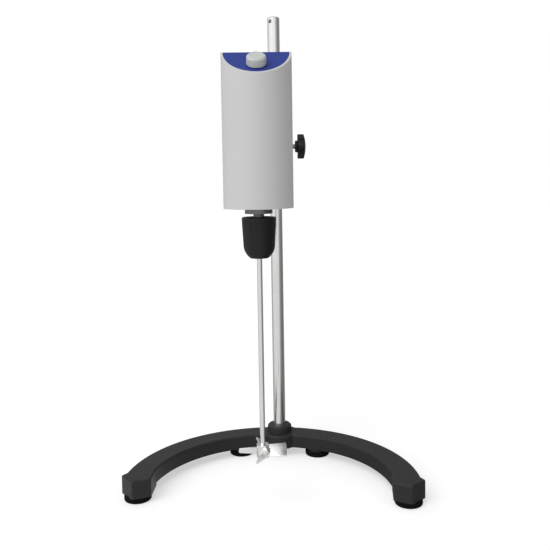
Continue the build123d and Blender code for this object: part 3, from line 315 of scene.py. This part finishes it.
def rubbery(finish, colour, gloss):
    """Moulded rubber: matt, with a bloom of pale dust and a pebbled skin."""
    dust = finish.noise(0.006, detail=4.0)
    pebbles = finish.cells(0.0011)
    tone = finish.mix(colour, shade(colour, 2.0), dust ** 3.0)
    finish.set({"Base Color": tone, "Roughness": gloss + dust * 0.12, "Specular IOR Level": 0.05})
    return finish.bump(pebbles, 0.00006)


def cast_paint(finish, colour, gloss, peel=0.0021, depth=0.00022):
    """Stoved paint on a casting: orange peel, pinholes and a dusting of paler specks."""
    waves = finish.noise(peel, detail=3.0)
    pits = finish.cells(0.0013)
    cloud = finish.noise(0.05, detail=3.0)
    speck = finish.noise(0.0006, detail=0.0) > SPECK_CUT
    tone = finish.mix(colour, shade(colour, 1.7), cloud * 0.55)
    tone = finish.mix(tone, shade(colour, 3.6), speck * 0.6)
    finish.set({"Base Color": tone, "Roughness": gloss - 0.08 + waves * 0.16, "Specular IOR Level": 0.24})
    return finish.bump(waves * 0.75 + pits * 0.25, depth)


def turned(finish, colour, gloss, ways, depth=0.000012, tarnish=0.12):
    """Machined metal: tool marks that run round or along it, stains and hairline scratches."""
    marks = finish.noise(0.0005, ways, detail=3.0)
    scratch = finish.noise(0.0012, tuple(0.08 + way for way in ways), detail=1.0) > SCRATCH_CUT
    stain = finish.noise(0.03, detail=4.0)
    tone = finish.mix(shade(colour, 1 - tarnish), shade(colour, 1 + tarnish / 3), stain)
    tone = finish.mix(tone, shade(colour, 0.8), scratch * 0.4)
    finish.set({"Base Color": tone, "Metallic": 1.0})
    finish.set({"Roughness": gloss - 0.05 + marks * 0.14 + stain * 0.05})
    return finish.bump(marks, depth)


def galvanised(finish, colour, gloss):
    """Zinc plate: bluish to yellowish patches with a fine crystal sparkle."""
    patch = finish.noise(0.004, detail=2.0)
    sparkle = finish.cells(0.0007)
    tone = finish.mix(shade(colour, 0.86), (colour[0] * 1.04, colour[1], colour[2] * 0.86), patch)
    finish.set({"Base Color": tone, "Metallic": 1.0, "Roughness": gloss + sparkle * 0.12})
    return finish.bump(sparkle, 0.00001)


def oxide(finish, colour, gloss):
    """Blackened steel: a soft satin black that rubs through to metal in places."""
    rub = finish.noise(0.005, detail=4.0)
    worn = finish.ramp(rub, (0.58, 0.0), (0.72, 1.0))
    finish.set({"Base Color": finish.mix(colour, (0.28, 0.27, 0.26), worn * 0.5)})
    finish.set({"Metallic": 0.85, "Roughness": gloss + rub * 0.15})
    return finish.bump(finish.noise(0.0006), 0.00001)


def sheet_stack(finish, colour, gloss):
    """A stack of thin steel sheets, seen edge on."""
    heights = finish.parts(finish.place)[2]
    seams = abs((heights * SHEETS_PER_METRE).fraction() - 0.5) > SEAM_CUT
    tone = finish.mix(colour, shade(colour, 0.35), seams)
    finish.set({"Base Color": tone, "Metallic": 0.8, "Roughness": gloss + finish.noise(0.002) * 0.2})
    return finish.bump(1 - seams, 0.00005)


def wound(finish, colour, gloss):
    """Enamelled wire, wound in rows, with painted shade in the grooves between the turns."""
    across = finish.parts(finish.place)[0]
    rows = abs((across * WIRE_WAVES).sine())
    # Painted shade: darker towards the grooves between the turns, where the bump dips
    tone = finish.mix(shade(colour, 0.35), colour, rows)
    finish.set({"Base Color": tone, "Metallic": 0.9, "Roughness": gloss + finish.noise(0.003) * 0.15})
    finish.set({"Coat Weight": 0.6})
    return finish.bump(rows, 0.00008)


def sintered(finish, colour, gloss):
    """Pressed and sintered powder, such as ferrite or carbon."""
    grains = finish.noise(0.0003, detail=3.0)
    tone = finish.mix(shade(colour, 0.7), shade(colour, 1.6), finish.noise(0.004))
    finish.set({"Base Color": tone, "Roughness": gloss + grains * 0.2})
    return finish.bump(grains, 0.00003)


def printed_board(finish, colour, gloss):
    """Solder mask over copper tracks."""
    x, y, z = finish.parts(finish.place)
    lines = (abs((x * TRACKS_ALONG_X).fraction() - 0.5) < TRACK_CUT) * (finish.noise(0.011) > 0.52)
    cross = (abs((z * TRACKS_ALONG_Z).fraction() - 0.5) < TRACK_CUT) * (finish.noise(0.013) > 0.56)
    tracks = lines.most(cross)
    tone = finish.mix(colour, (colour[0] * 2.6, colour[1] * 1.9, colour[2] * 2.0), tracks * 0.8)
    finish.set({"Base Color": tone, "Roughness": gloss + finish.noise(0.02) * 0.1})
    return finish.bump(tracks, 0.00004)


# ---------------------------------------------------------------- settings


def colour_of(name, description, default):
    """A colour setting with its name, description and default."""
    return bpy.props.FloatVectorProperty(
        name=name, description=description, subtype="COLOR", size=3, min=0.0, max=1.0, default=default
    )


def size_of(name, description, default):
    """A length setting in metres."""
    return bpy.props.FloatProperty(
        name=name,
        description=description,
        subtype="DISTANCE",
        unit="LENGTH",
        precision=5,
        min=0.0,
        default=default,
    )


def angle_of(name, description, default):
    """An angle setting in radians."""
    return bpy.props.FloatProperty(
        name=name, description=description, subtype="ANGLE", unit="ROTATION", default=default
    )


def level_of(name, description, default):
    """A setting for a strength or a share of light."""
    return bpy.props.FloatProperty(name=name, description=description, min=0.0, default=default)


class StirrerSizes(bpy.types.PropertyGroup):
    """The sizes of the fine detail that the frame leaves plain."""

    cast_edge: size_of("Cast edge", "Rounding of the castings' edges", 0.0007)
    shell_edge: size_of("Shell edge", "Rounding of the housing's edges", 0.0008)
    grip_edge: size_of("Grip edge", "Rounding of the clamp knobs' edges", 0.0011)
    metal_edge: size_of("Metal edge", "Broken edge of turned and milled metal", 0.0003)
    knob_radius: size_of("Knob radius", "Speed knob at its foot", 0.01075)
    knob_height: size_of("Knob height", "Speed knob above the panel", 0.0100)
    knob_lift: size_of("Knob lift", "Gap under the speed knob", 0.0006)
    knob_rounding: size_of("Knob rounding", "Rounding between the knob's side and face", 0.0027)
    flute_depth: size_of("Flute depth", "Depth of the grip flutes", 0.00014)
    sleeve_flute_depth: size_of("Sleeve flute depth", "Depth of the chuck's grip flutes", 0.00014)
    socket_flats: size_of("Socket flats", "Across the flats of a screw's socket", 0.0022)
    socket_depth: size_of("Socket depth", "Depth of a screw's socket", 0.0010)


class StirrerColours(bpy.types.PropertyGroup):
    """The colours that a user would change."""

    shell: colour_of("Shell", "Moulded housing and its covers", (0.625, 0.625, 0.632))
    panel: colour_of("Panel", "Sloping control panel", (0.024, 0.048, 0.27))
    knob: colour_of("Knob", "Speed knob", (0.58, 0.60, 0.58))
    grip: colour_of("Grips", "Chuck sleeve and clamp knobs", (0.009, 0.009, 0.0095))
    casting: colour_of("Casting", "Painted base and boss head", (0.019, 0.019, 0.0195))
    rubber: colour_of("Rubber", "Feet and seals", (0.006, 0.006, 0.006))
    steel: colour_of("Steel", "Rods and shaft", (0.86, 0.86, 0.85))
    # Steel darkened to paint the shade on the spindle under the head and on the clamp screws
    shaded_steel: colour_of("Dark steel", "Spindle and clamp screws", (0.17, 0.17, 0.175))
    zinc: colour_of("Zinc plate", "Screws, nuts and washers", (0.60, 0.61, 0.62))
    flange: colour_of("Flange", "Turned parts under the head", (0.19, 0.19, 0.195))


class StirrerStage(bpy.types.PropertyGroup):
    """The camera, floor and light."""

    eye: bpy.props.FloatVectorProperty(
        name="Eye",
        description="Where the camera stands",
        subtype="TRANSLATION",
        unit="LENGTH",
        size=3,
        default=(-0.0119, -0.8705, 0.3779),
    )
    heading: angle_of("Heading", "How far the camera turns to the right", 0.025908)
    dip: angle_of("Dip", "How far the camera looks down", 0.064443)
    roll: angle_of("Roll", "How far the camera rolls clockwise", 0.015811)
    focal_pixels: bpy.props.FloatProperty(
        name="Focal length",
        description="Focal length in pixels of an image 550 wide",
        default=718.244,
        min=100.0,
    )
    rise: bpy.props.FloatProperty(
        name="Rise", description="Vertical shift of the lens", default=-0.1, min=-0.2, max=0.2
    )
    ambient: level_of("Ambient", "Light from all round", 0.56)
    side_fall: level_of("Side fall", "How far the ambient light falls off to the right", 0.36)
    key_light: level_of("Key light", "Strength of the soft key light", 1.45)
    floor: colour_of("Floor", "Plain pale floor", (0.62, 0.62, 0.62))


def coat(node, finish):
    """Gives a CAD node one finish."""
    thing = frame["nodes"][node]
    thing.data.materials.clear()
    thing.data.materials.append(finish.material)


def finish_slot(slot, recipe, colour, gloss, **details):
    """Makes one finish and lays it on every CAD node of its slot."""
    made = recipe(Finish(slot), colour, gloss, **details)
    for node in nodes_of(slot):
        coat(node, made)


def nodes_of(slot):
    """The CAD nodes whose record gives them this slot."""
    return [part["node"] for part in frame["record"]["subparts"] if part["material_slot"] == slot]


def body_of(node):
    """The body that carries a CAD node."""
    bodies = frame["record"]["behaviour"]["bodies"]
    return next(body for body, nodes in bodies.items() if node in nodes)


def new_piece(name, form, material, node):
    """Turns a bmesh into a piece that stands for a CAD node, smooth but for its sharp edges."""
    mesh = bpy.data.meshes.new(name)
    form.to_mesh(mesh)
    form.free()
    mesh.shade_smooth()
    mesh.set_sharp_from_angle(angle=SHARP_ANGLE)
    mesh.materials.append(material)
    piece = bpy.data.objects.new(name, mesh)
    bpy.context.scene.collection.objects.link(piece)
    level = piece.modifiers.new("level_faces", "WEIGHTED_NORMAL")
    level.keep_sharp = True
    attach(piece, body_of(node))
    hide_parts(node)
    return piece


def merged_copy(node):
    """A bmesh copy of a CAD node, with its triangles joined into whole faces."""
    form = bmesh.new()
    form.from_mesh(frame["nodes"][node].data)
    bmesh.ops.remove_doubles(form, verts=form.verts, dist=MERGE_DISTANCE)
    bmesh.ops.dissolve_limit(form, angle_limit=FLAT_ANGLE, verts=form.verts, edges=form.edges)
    return form


def soften(node, width, segments=2):
    """Replaces a CAD node by a copy whose sharp outer edges are rounded to a width."""
    form = merged_copy(node)
    sharp = [edge for edge in form.edges if edge.is_manifold and edge.calc_face_angle_signed() > SHARP_ANGLE]
    round_off(form, sharp, width, segments)
    material = frame["nodes"][node].data.materials[0]
    return new_piece(f"{node}_softened", form, material, node)


def round_off(form, edges, width, segments):
    """Bevels edges by a width."""
    bmesh.ops.bevel(
        form,
        geom=edges,
        offset=width,
        affect="EDGES",
        segments=segments,
        profile=0.5,
        material=-1,
        clamp_overlap=True,
    )


class STIRRER_OT_stand(bpy.types.Operator):
    """Finishes the base, its feet and the rods."""

    bl_idname = "stirrer.stand"
    bl_label = "Stand"

    def execute(self, context):
        colours = context.scene.stirrer_colours
        finish_slot("charcoal_casting", cast_paint, colours.casting, 0.50)
        finish_slot("boss_casting", cast_paint, colours.casting, 0.42, peel=0.0012, depth=0.0001)
        finish_slot("black_rubber", rubbery, colours.rubber, 0.72)
        finish_slot("stainless", turned, colours.steel, 0.16, ways=ROUND_Z)
        finish_slot("zinc_steel", galvanised, colours.zinc, 0.28)
        finish_slot("blackened_steel", oxide, (0.03, 0.03, 0.032), 0.38)
        finish_slot("brass", turned, (0.72, 0.52, 0.24), 0.22, ways=ALONG_Z)
        # A darkened copy of steel: painted shade on the spindle under the head and on the clamp screws
        dark = turned(Finish("shaded_steel"), colours.shaded_steel, 0.30, ways=ROUND_Z)
        for node in SHADED_STEEL_NODES:
            coat(node, dark)
        finish_slot("black_plastic", moulded, colours.grip, 0.42, grain=0.0006, shine=0.28)
        return {"FINISHED"}


class STIRRER_OT_head(bpy.types.Operator):
    """Finishes the housing, panel, knob, flange and chuck."""

    bl_idname = "stirrer.head"
    bl_label = "Head"

    def execute(self, context):
        colours = context.scene.stirrer_colours
        finish_slot("grey_shell", moulded, colours.shell, 0.46, clouding=0.02)
        finish_slot("blue_cap", moulded, colours.panel, 0.45, clouding=0.10, shine=0.22)
        finish_slot("grey_knob", moulded, colours.knob, 0.36)
        finish_slot("aluminium", turned, (0.70, 0.71, 0.72), 0.34, ways=ALONG_Z)
        finish_slot("dark_flange", turned, colours.flange, 0.34, ways=ROUND_Z)
        finish_slot("seal_rubber", rubbery, colours.rubber, 0.6)
        return {"FINISHED"}


class STIRRER_OT_edges(bpy.types.Operator):
    """Rounds the sharp edges of the castings, housing, grips and metal parts."""

    bl_idname = "stirrer.edges"
    bl_label = "Edges"

    def execute(self, context):
        sizes = context.scene.stirrer_sizes
        for node in ("base_casting", "boss_head"):
            soften(node, sizes.cast_edge)
        for node in ("housing_shell", "rear_cover", "top_cap"):
            soften(node, sizes.shell_edge, segments=3)
        for node in ("rod_clamp_knob", "arm_clamp_knob"):
            soften(node, sizes.grip_edge, segments=3)
        for node in METAL_EDGES:
            soften(node, sizes.metal_edge)
        return {"FINISHED"}


class STIRRER_OT_knob(bpy.types.Operator):
    """Makes the speed knob, fluted and dished, with a recess and a bore in its foot."""

    bl_idname = "stirrer.knob"
    bl_label = "Speed knob"

    def execute(self, context):
        sizes = context.scene.stirrer_sizes
        form = bmesh.new()
        bmesh.ops.create_cone(
            form,
            cap_ends=True,
            segments=KNOB_SEGMENTS,
            radius1=sizes.knob_radius,
            radius2=sizes.knob_radius * KNOB_TAPER,
            depth=sizes.knob_height,
        )
        rise = sizes.knob_lift + sizes.knob_height / 2
        bmesh.ops.translate(form, verts=form.verts, vec=(0.0, 0.0, rise))
        round_off(form, list(end_face(form, 1.0).edges), sizes.knob_rounding, FACE_STEPS)
        foot_rounding = sizes.knob_rounding * FOOT_ROUNDING
        round_off(form, list(end_face(form, -1.0).edges), foot_rounding, FOOT_STEPS)
        flute(form, KNOB_FLUTE_PITCH, sizes.flute_depth)
        face = end_face(form, 1.0)
        bmesh.ops.inset_region(form, faces=[face], thickness=sizes.knob_radius * DISH_MARGIN)
        bmesh.ops.inset_region(form, faces=[face], thickness=DISH_DEPTH, depth=-DISH_DEPTH)
        foot = end_face(form, -1.0)
        radius = foot.verts[0].co.xy.length
        for hole_radius, depth in ((RECESS_RADIUS, RECESS_DEPTH), (BORE_RADIUS, BORE_DEPTH)):
            bmesh.ops.inset_region(form, faces=[foot], thickness=radius - hole_radius)
            bmesh.ops.inset_region(form, faces=[foot], thickness=0.0, depth=-depth)
            radius = hole_radius
        place = joint_place("speed_knob_turn")
        bmesh.ops.transform(form, matrix=place, verts=form.verts)
        material = frame["nodes"]["speed_knob"].data.materials[0]
        new_piece("speed_knob_fluted", form, material, "speed_knob")
        return {"FINISHED"}


def joint_place(name):
    """The matrix that stands a piece, made upright at the origin, on a joint's axis."""
    joint = next(joint for joint in frame["joints"] if joint["name"] == name)
    turn = Vector((0.0, 0.0, 1.0)).rotation_difference(Vector(joint["axis"]))
    return Matrix.Translation(Vector(joint["pos_m"])) @ turn.to_matrix().to_4x4()


def end_face(form, way):
    """The highest (way 1) or lowest (way -1) face of a form."""
    form.normal_update()
    return max(form.faces, key=lambda face: way * face.calc_center_median().z)


def flute(form, pitch, depth, low=-1.0, high=1.0):
    """Sinks one in every few of the long side faces between two heights, as grip flutes."""
    form.normal_update()
    sides = [face for face in form.faces if abs(face.normal.z) < SIDE_SLOPE]
    sides = [face for face in sides if low < face.calc_center_median().z < high]
    around = sorted(sides, key=lambda face: math.atan2(face.normal.y, face.normal.x))
    bmesh.ops.inset_individual(form, faces=around[::pitch], thickness=depth / 2, depth=-depth)


class STIRRER_OT_screws(bpy.types.Operator):
    """Rounds the screw heads and sinks a hexagon socket in each."""

    bl_idname = "stirrer.screws"
    bl_label = "Screws"

    def execute(self, context):
        sizes = context.scene.stirrer_sizes
        for node, way in SCREW_HEADS.items():
            socket_screws(node, Vector(way), sizes)
        return {"FINISHED"}


def head_faces(form, way):
    """The faces of the screw heads' outer ends."""
    form.normal_update()
    facing = [face for face in form.faces if face.normal.dot(way) > HEAD_FACING]
    reach = max(face.calc_center_median().dot(way) for face in facing)
    return [face for face in facing if reach - face.calc_center_median().dot(way) < HEAD_SPREAD]


def socket_screws(node, way, sizes):
    """Replaces screws with plain heads by ones with rounded heads and hexagon sockets."""
    form = merged_copy(node)
    rims = [edge for face in head_faces(form, way) for edge in face.edges]
    round_off(form, rims, HEAD_ROUNDING, HEAD_STEPS)
    heads = head_faces(form, way)
    corner = sizes.socket_flats / math.sqrt(3.0)
    radius = (heads[0].verts[0].co - heads[0].calc_center_median()).length
    bmesh.ops.inset_individual(form, faces=heads, thickness=radius - corner)
    for head in heads:
        centre = head.calc_center_median()
        across = way.orthogonal().normalized()
        for vert in head.verts:
            arm = vert.co - centre
            turn = math.atan2(arm.dot(way.cross(across)), arm.dot(across)) % HEXAGON_STEP
            reach = sizes.socket_flats / 2 / math.cos(turn - HEXAGON_STEP / 2)
            vert.co = centre + arm.normalized() * reach
    bmesh.ops.inset_individual(form, faces=heads, thickness=SOCKET_DRAFT, depth=-sizes.socket_depth)
    material = frame["nodes"][node].data.materials[0]
    new_piece(f"{node}_socketed", form, material, node)


def sleeve_profile(top, height):
    """The closed outline of the sleeve's wall, as (radius, height) points from its mouth up and back."""
    waist = top * SLEEVE_WAIST
    outer = [(SLEEVE_MOUTH, 0.0)]
    for step in range(1, BOWL_STEPS + 1):
        turn = math.radians(90.0) * step / BOWL_STEPS
        radius = SLEEVE_MOUTH + (waist - SLEEVE_MOUTH) * math.sin(turn) ** BOWL_FLARE
        outer.append((radius, SLEEVE_BOWL * (1 - math.cos(turn)) ** BOWL_RISE))
    corner = SLEEVE_RIM * RIM_CORNER
    outer.append((top - (top - waist) * BAND_TAPER, height - SLEEVE_BAND))
    outer += [(top, height - SLEEVE_RIM), (top - corner, height - corner), (top - SLEEVE_RIM, height)]
    inner = [
        (HUB_OPENING, height),
        (HUB_OPENING, height - SLEEVE_WALL),
        (top - SLEEVE_WALL, height - SLEEVE_WALL),
        (waist - SLEEVE_WALL, SLEEVE_INNER_WAIST),
        (SLEEVE_MOUTH, SLEEVE_WALL),
    ]
    return outer + inner


class STIRRER_OT_sleeve(bpy.types.Operator):
    """Makes the chuck's sleeve, a turned cup with grip flutes."""

    bl_idname = "stirrer.sleeve"
    bl_label = "Chuck sleeve"

    def execute(self, context):
        sizes = context.scene.stirrer_sizes
        low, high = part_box("chuck_sleeve")
        height = high.z - low.z
        profile = sleeve_profile((high.x - low.x) / 2, height)
        form = bmesh.new()
        verts = [form.verts.new((radius, 0.0, rise)) for radius, rise in profile]
        edges = [form.edges.new(pair) for pair in zip(verts, verts[1:] + verts[:1])]
        bmesh.ops.spin(
            form,
            geom=verts + edges,
            cent=(0.0, 0.0, 0.0),
            axis=(0.0, 0.0, 1.0),
            angle=math.radians(360.0),
            steps=SLEEVE_SEGMENTS,
            use_merge=True,
        )
        bmesh.ops.remove_doubles(form, verts=form.verts, dist=MERGE_DISTANCE)
        bmesh.ops.recalc_face_normals(form, faces=form.faces)
        band = height - SLEEVE_BAND
        flute(form, SLEEVE_FLUTE_PITCH, sizes.sleeve_flute_depth, low=SLEEVE_BOWL, high=band)
        centre = (low + high) / 2
        bmesh.ops.translate(form, verts=form.verts, vec=(centre.x, centre.y, low.z))
        material = frame["nodes"]["chuck_sleeve"].data.materials[0]
        new_piece("chuck_sleeve_fluted", form, material, "chuck_sleeve")
        return {"FINISHED"}


class STIRRER_OT_works(bpy.types.Operator):
    """Finishes the bearings, gears, motor and circuit board inside the head."""

    bl_idname = "stirrer.works"
    bl_label = "Works"

    def execute(self, context):
        finish_slot("bearing_steel", turned, (0.66, 0.67, 0.68), 0.14, ways=ROUND_Z)
        finish_slot("motor_steel", galvanised, (0.58, 0.59, 0.60), 0.32)
        finish_slot("ferrite", sintered, (0.045, 0.043, 0.042), 0.55)
        finish_slot("laminations", sheet_stack, (0.42, 0.42, 0.43), 0.38)
        finish_slot("copper", wound, (0.72, 0.30, 0.14), 0.26)
        finish_slot("carbon", sintered, (0.03, 0.03, 0.032), 0.45)
        finish_slot("board_green", printed_board, (0.010, 0.085, 0.032), 0.30)
        return {"FINISHED"}


class STIRRER_OT_stage(bpy.types.Operator):
    """Sets the floor, world, key light and camera."""

    bl_idname = "stirrer.stage"
    bl_label = "Stage"

    def execute(self, context):
        stage = context.scene.stirrer_stage
        make_floor(stage)
        make_world(stage)
        make_light(stage)
        make_camera(stage)
        return {"FINISHED"}


def make_floor(stage):
    """A floor that is white to the camera, the studio to metal, and clear from below."""
    mesh = bpy.data.meshes.new("floor")
    form = bmesh.new()
    bmesh.ops.create_grid(form, x_segments=1, y_segments=1, size=FLOOR_REACH)
    bmesh.ops.translate(form, verts=form.verts, vec=(0.0, 0.0, -FLOOR_DROP))
    form.to_mesh(mesh)
    form.free()
    floor = bpy.data.objects.new("floor", mesh)
    bpy.context.scene.collection.objects.link(floor)
    material = bpy.data.materials.new("floor_paint")
    material.use_nodes = True
    graph = Graph(material.node_tree)
    graph.tree.nodes.remove(graph.tree.nodes["Principled BSDF"])
    colour = (*stage.floor, 1.0)
    plain = graph.node("ShaderNodeBsdfDiffuse", sockets={"Color": colour})
    glow = graph.node("ShaderNodeEmission", sockets={"Color": WHITE, "Strength": FLOOR_GLOW})
    white = graph.node("ShaderNodeAddShader", sockets={0: plain, 1: glow})
    place = graph.node("ShaderNodeTexCoord", output=3)
    sheen = {"Color": studio(graph, place), "Strength": FLOOR_SHEEN}
    mirrored = graph.node("ShaderNodeEmission", sockets=sheen)
    camera, glossy, clear_ray = rays(graph)
    unseen = graph.node("ShaderNodeMixShader", sockets={0: glossy, 1: plain, 2: mirrored})
    look = graph.node("ShaderNodeMixShader", sockets={0: camera.most(clear_ray), 1: unseen, 2: white})
    below = graph.node("ShaderNodeNewGeometry", output=6)
    clear = graph.node("ShaderNodeBsdfTransparent")
    final = graph.node("ShaderNodeMixShader", sockets={0: below, 1: look, 2: clear})
    graph.tree.links.new(final.socket, graph.tree.nodes["Material Output"].inputs["Surface"])
    mesh.materials.append(material)


def make_world(stage):
    """White to the camera, the studio to metal, and an ambient light that falls off to the right."""
    world = bpy.data.worlds.new("studio")
    bpy.context.scene.world = world
    world.use_nodes = True
    graph = Graph(world.node_tree)
    background = graph.tree.nodes["Background"]
    way = graph.node("ShaderNodeTexCoord", output=0)
    camera, glossy, clear_ray = rays(graph)
    ambient = (1 - graph.parts(way)[0] * stage.side_fall) * stage.ambient
    level = glossy * studio(graph, way) + (1 - glossy) * ambient
    seen = camera.most(clear_ray)
    level = seen + (1 - seen) * level
    graph.tree.links.new(level.socket, background.inputs["Color"])
    background.inputs["Strength"].default_value = 1.0


def make_light(stage):
    """A broad sun from the upper left of the front, so the whole floor has one level."""
    lamp = bpy.data.lights.new("key", "SUN")
    lamp.energy = stage.key_light
    lamp.angle = KEY_SPREAD
    key = bpy.data.objects.new("key", lamp)
    key.rotation_euler = Vector(KEY_WAY).to_track_quat("-Z", "Y").to_euler()
    bpy.context.scene.collection.objects.link(key)


def make_camera(stage):
    """The camera at the viewing angle."""
    heading, dip, roll = stage.heading, stage.dip, stage.roll
    forward = Vector(
        (math.sin(heading) * math.cos(dip), math.cos(heading) * math.cos(dip), -math.sin(dip))
    )
    level = Vector((math.cos(heading), -math.sin(heading), 0.0))
    upright = level.cross(forward)
    right = level * math.cos(roll) - upright * math.sin(roll)
    up = level * math.sin(roll) + upright * math.cos(roll)
    lens = bpy.data.cameras.new("camera")
    lens.sensor_width = SENSOR_WIDTH
    lens.lens = stage.focal_pixels / IMAGE_WIDTH * SENSOR_WIDTH
    lens.shift_y = stage.rise
    lens.clip_start = NEAREST
    camera = bpy.data.objects.new("camera", lens)
    axes = Matrix((right, up, -forward)).transposed().to_4x4()
    camera.matrix_world = Matrix.Translation(Vector(stage.eye)) @ axes
    bpy.context.scene.collection.objects.link(camera)
    bpy.context.scene.camera = camera
    bpy.context.scene.view_settings.view_transform = "Standard"


class STIRRER_PT_panel(bpy.types.Panel):
    """Lists the steps that dress the stirrer."""

    bl_idname = "STIRRER_PT_panel"
    bl_label = "Overhead stirrer"
    bl_space_type = "VIEW_3D"
    bl_region_type = "UI"
    bl_category = "Stirrer"

    def draw(self, context):
        for step in STEPS:
            self.layout.operator(step.bl_idname)


STEPS = (
    STIRRER_OT_stand,
    STIRRER_OT_head,
    STIRRER_OT_works,
    STIRRER_OT_edges,
    STIRRER_OT_knob,
    STIRRER_OT_sleeve,
    STIRRER_OT_screws,
    STIRRER_OT_stage,
)
GROUPS = (StirrerSizes, StirrerColours, StirrerStage)


def register():
    """Registers the settings, the steps and the panel."""
    for group in (*GROUPS, *STEPS, STIRRER_PT_panel):
        bpy.utils.register_class(group)
    bpy.types.Scene.stirrer_sizes = bpy.props.PointerProperty(type=StirrerSizes)
    bpy.types.Scene.stirrer_colours = bpy.props.PointerProperty(type=StirrerColours)
    bpy.types.Scene.stirrer_stage = bpy.props.PointerProperty(type=StirrerStage)


def unregister():
    """Takes the settings, the steps and the panel away again."""
    del bpy.types.Scene.stirrer_stage
    del bpy.types.Scene.stirrer_colours
    del bpy.types.Scene.stirrer_sizes
    for group in reversed((*GROUPS, *STEPS, STIRRER_PT_panel)):
        bpy.utils.unregister_class(group)


def main():
    """Dresses the frame step by step."""
    register()
    bpy.ops.stirrer.stand()
    bpy.ops.stirrer.head()
    bpy.ops.stirrer.works()
    bpy.ops.stirrer.edges()
    bpy.ops.stirrer.knob()
    bpy.ops.stirrer.sleeve()
    bpy.ops.stirrer.screws()
    bpy.ops.stirrer.stage()
    bare = [n for n, thing in frame["nodes"].items() if not thing.data.materials]
    if bare:
        raise RuntimeError(f"no finish on {bare}")


if __name__ == "__main__":
    main()
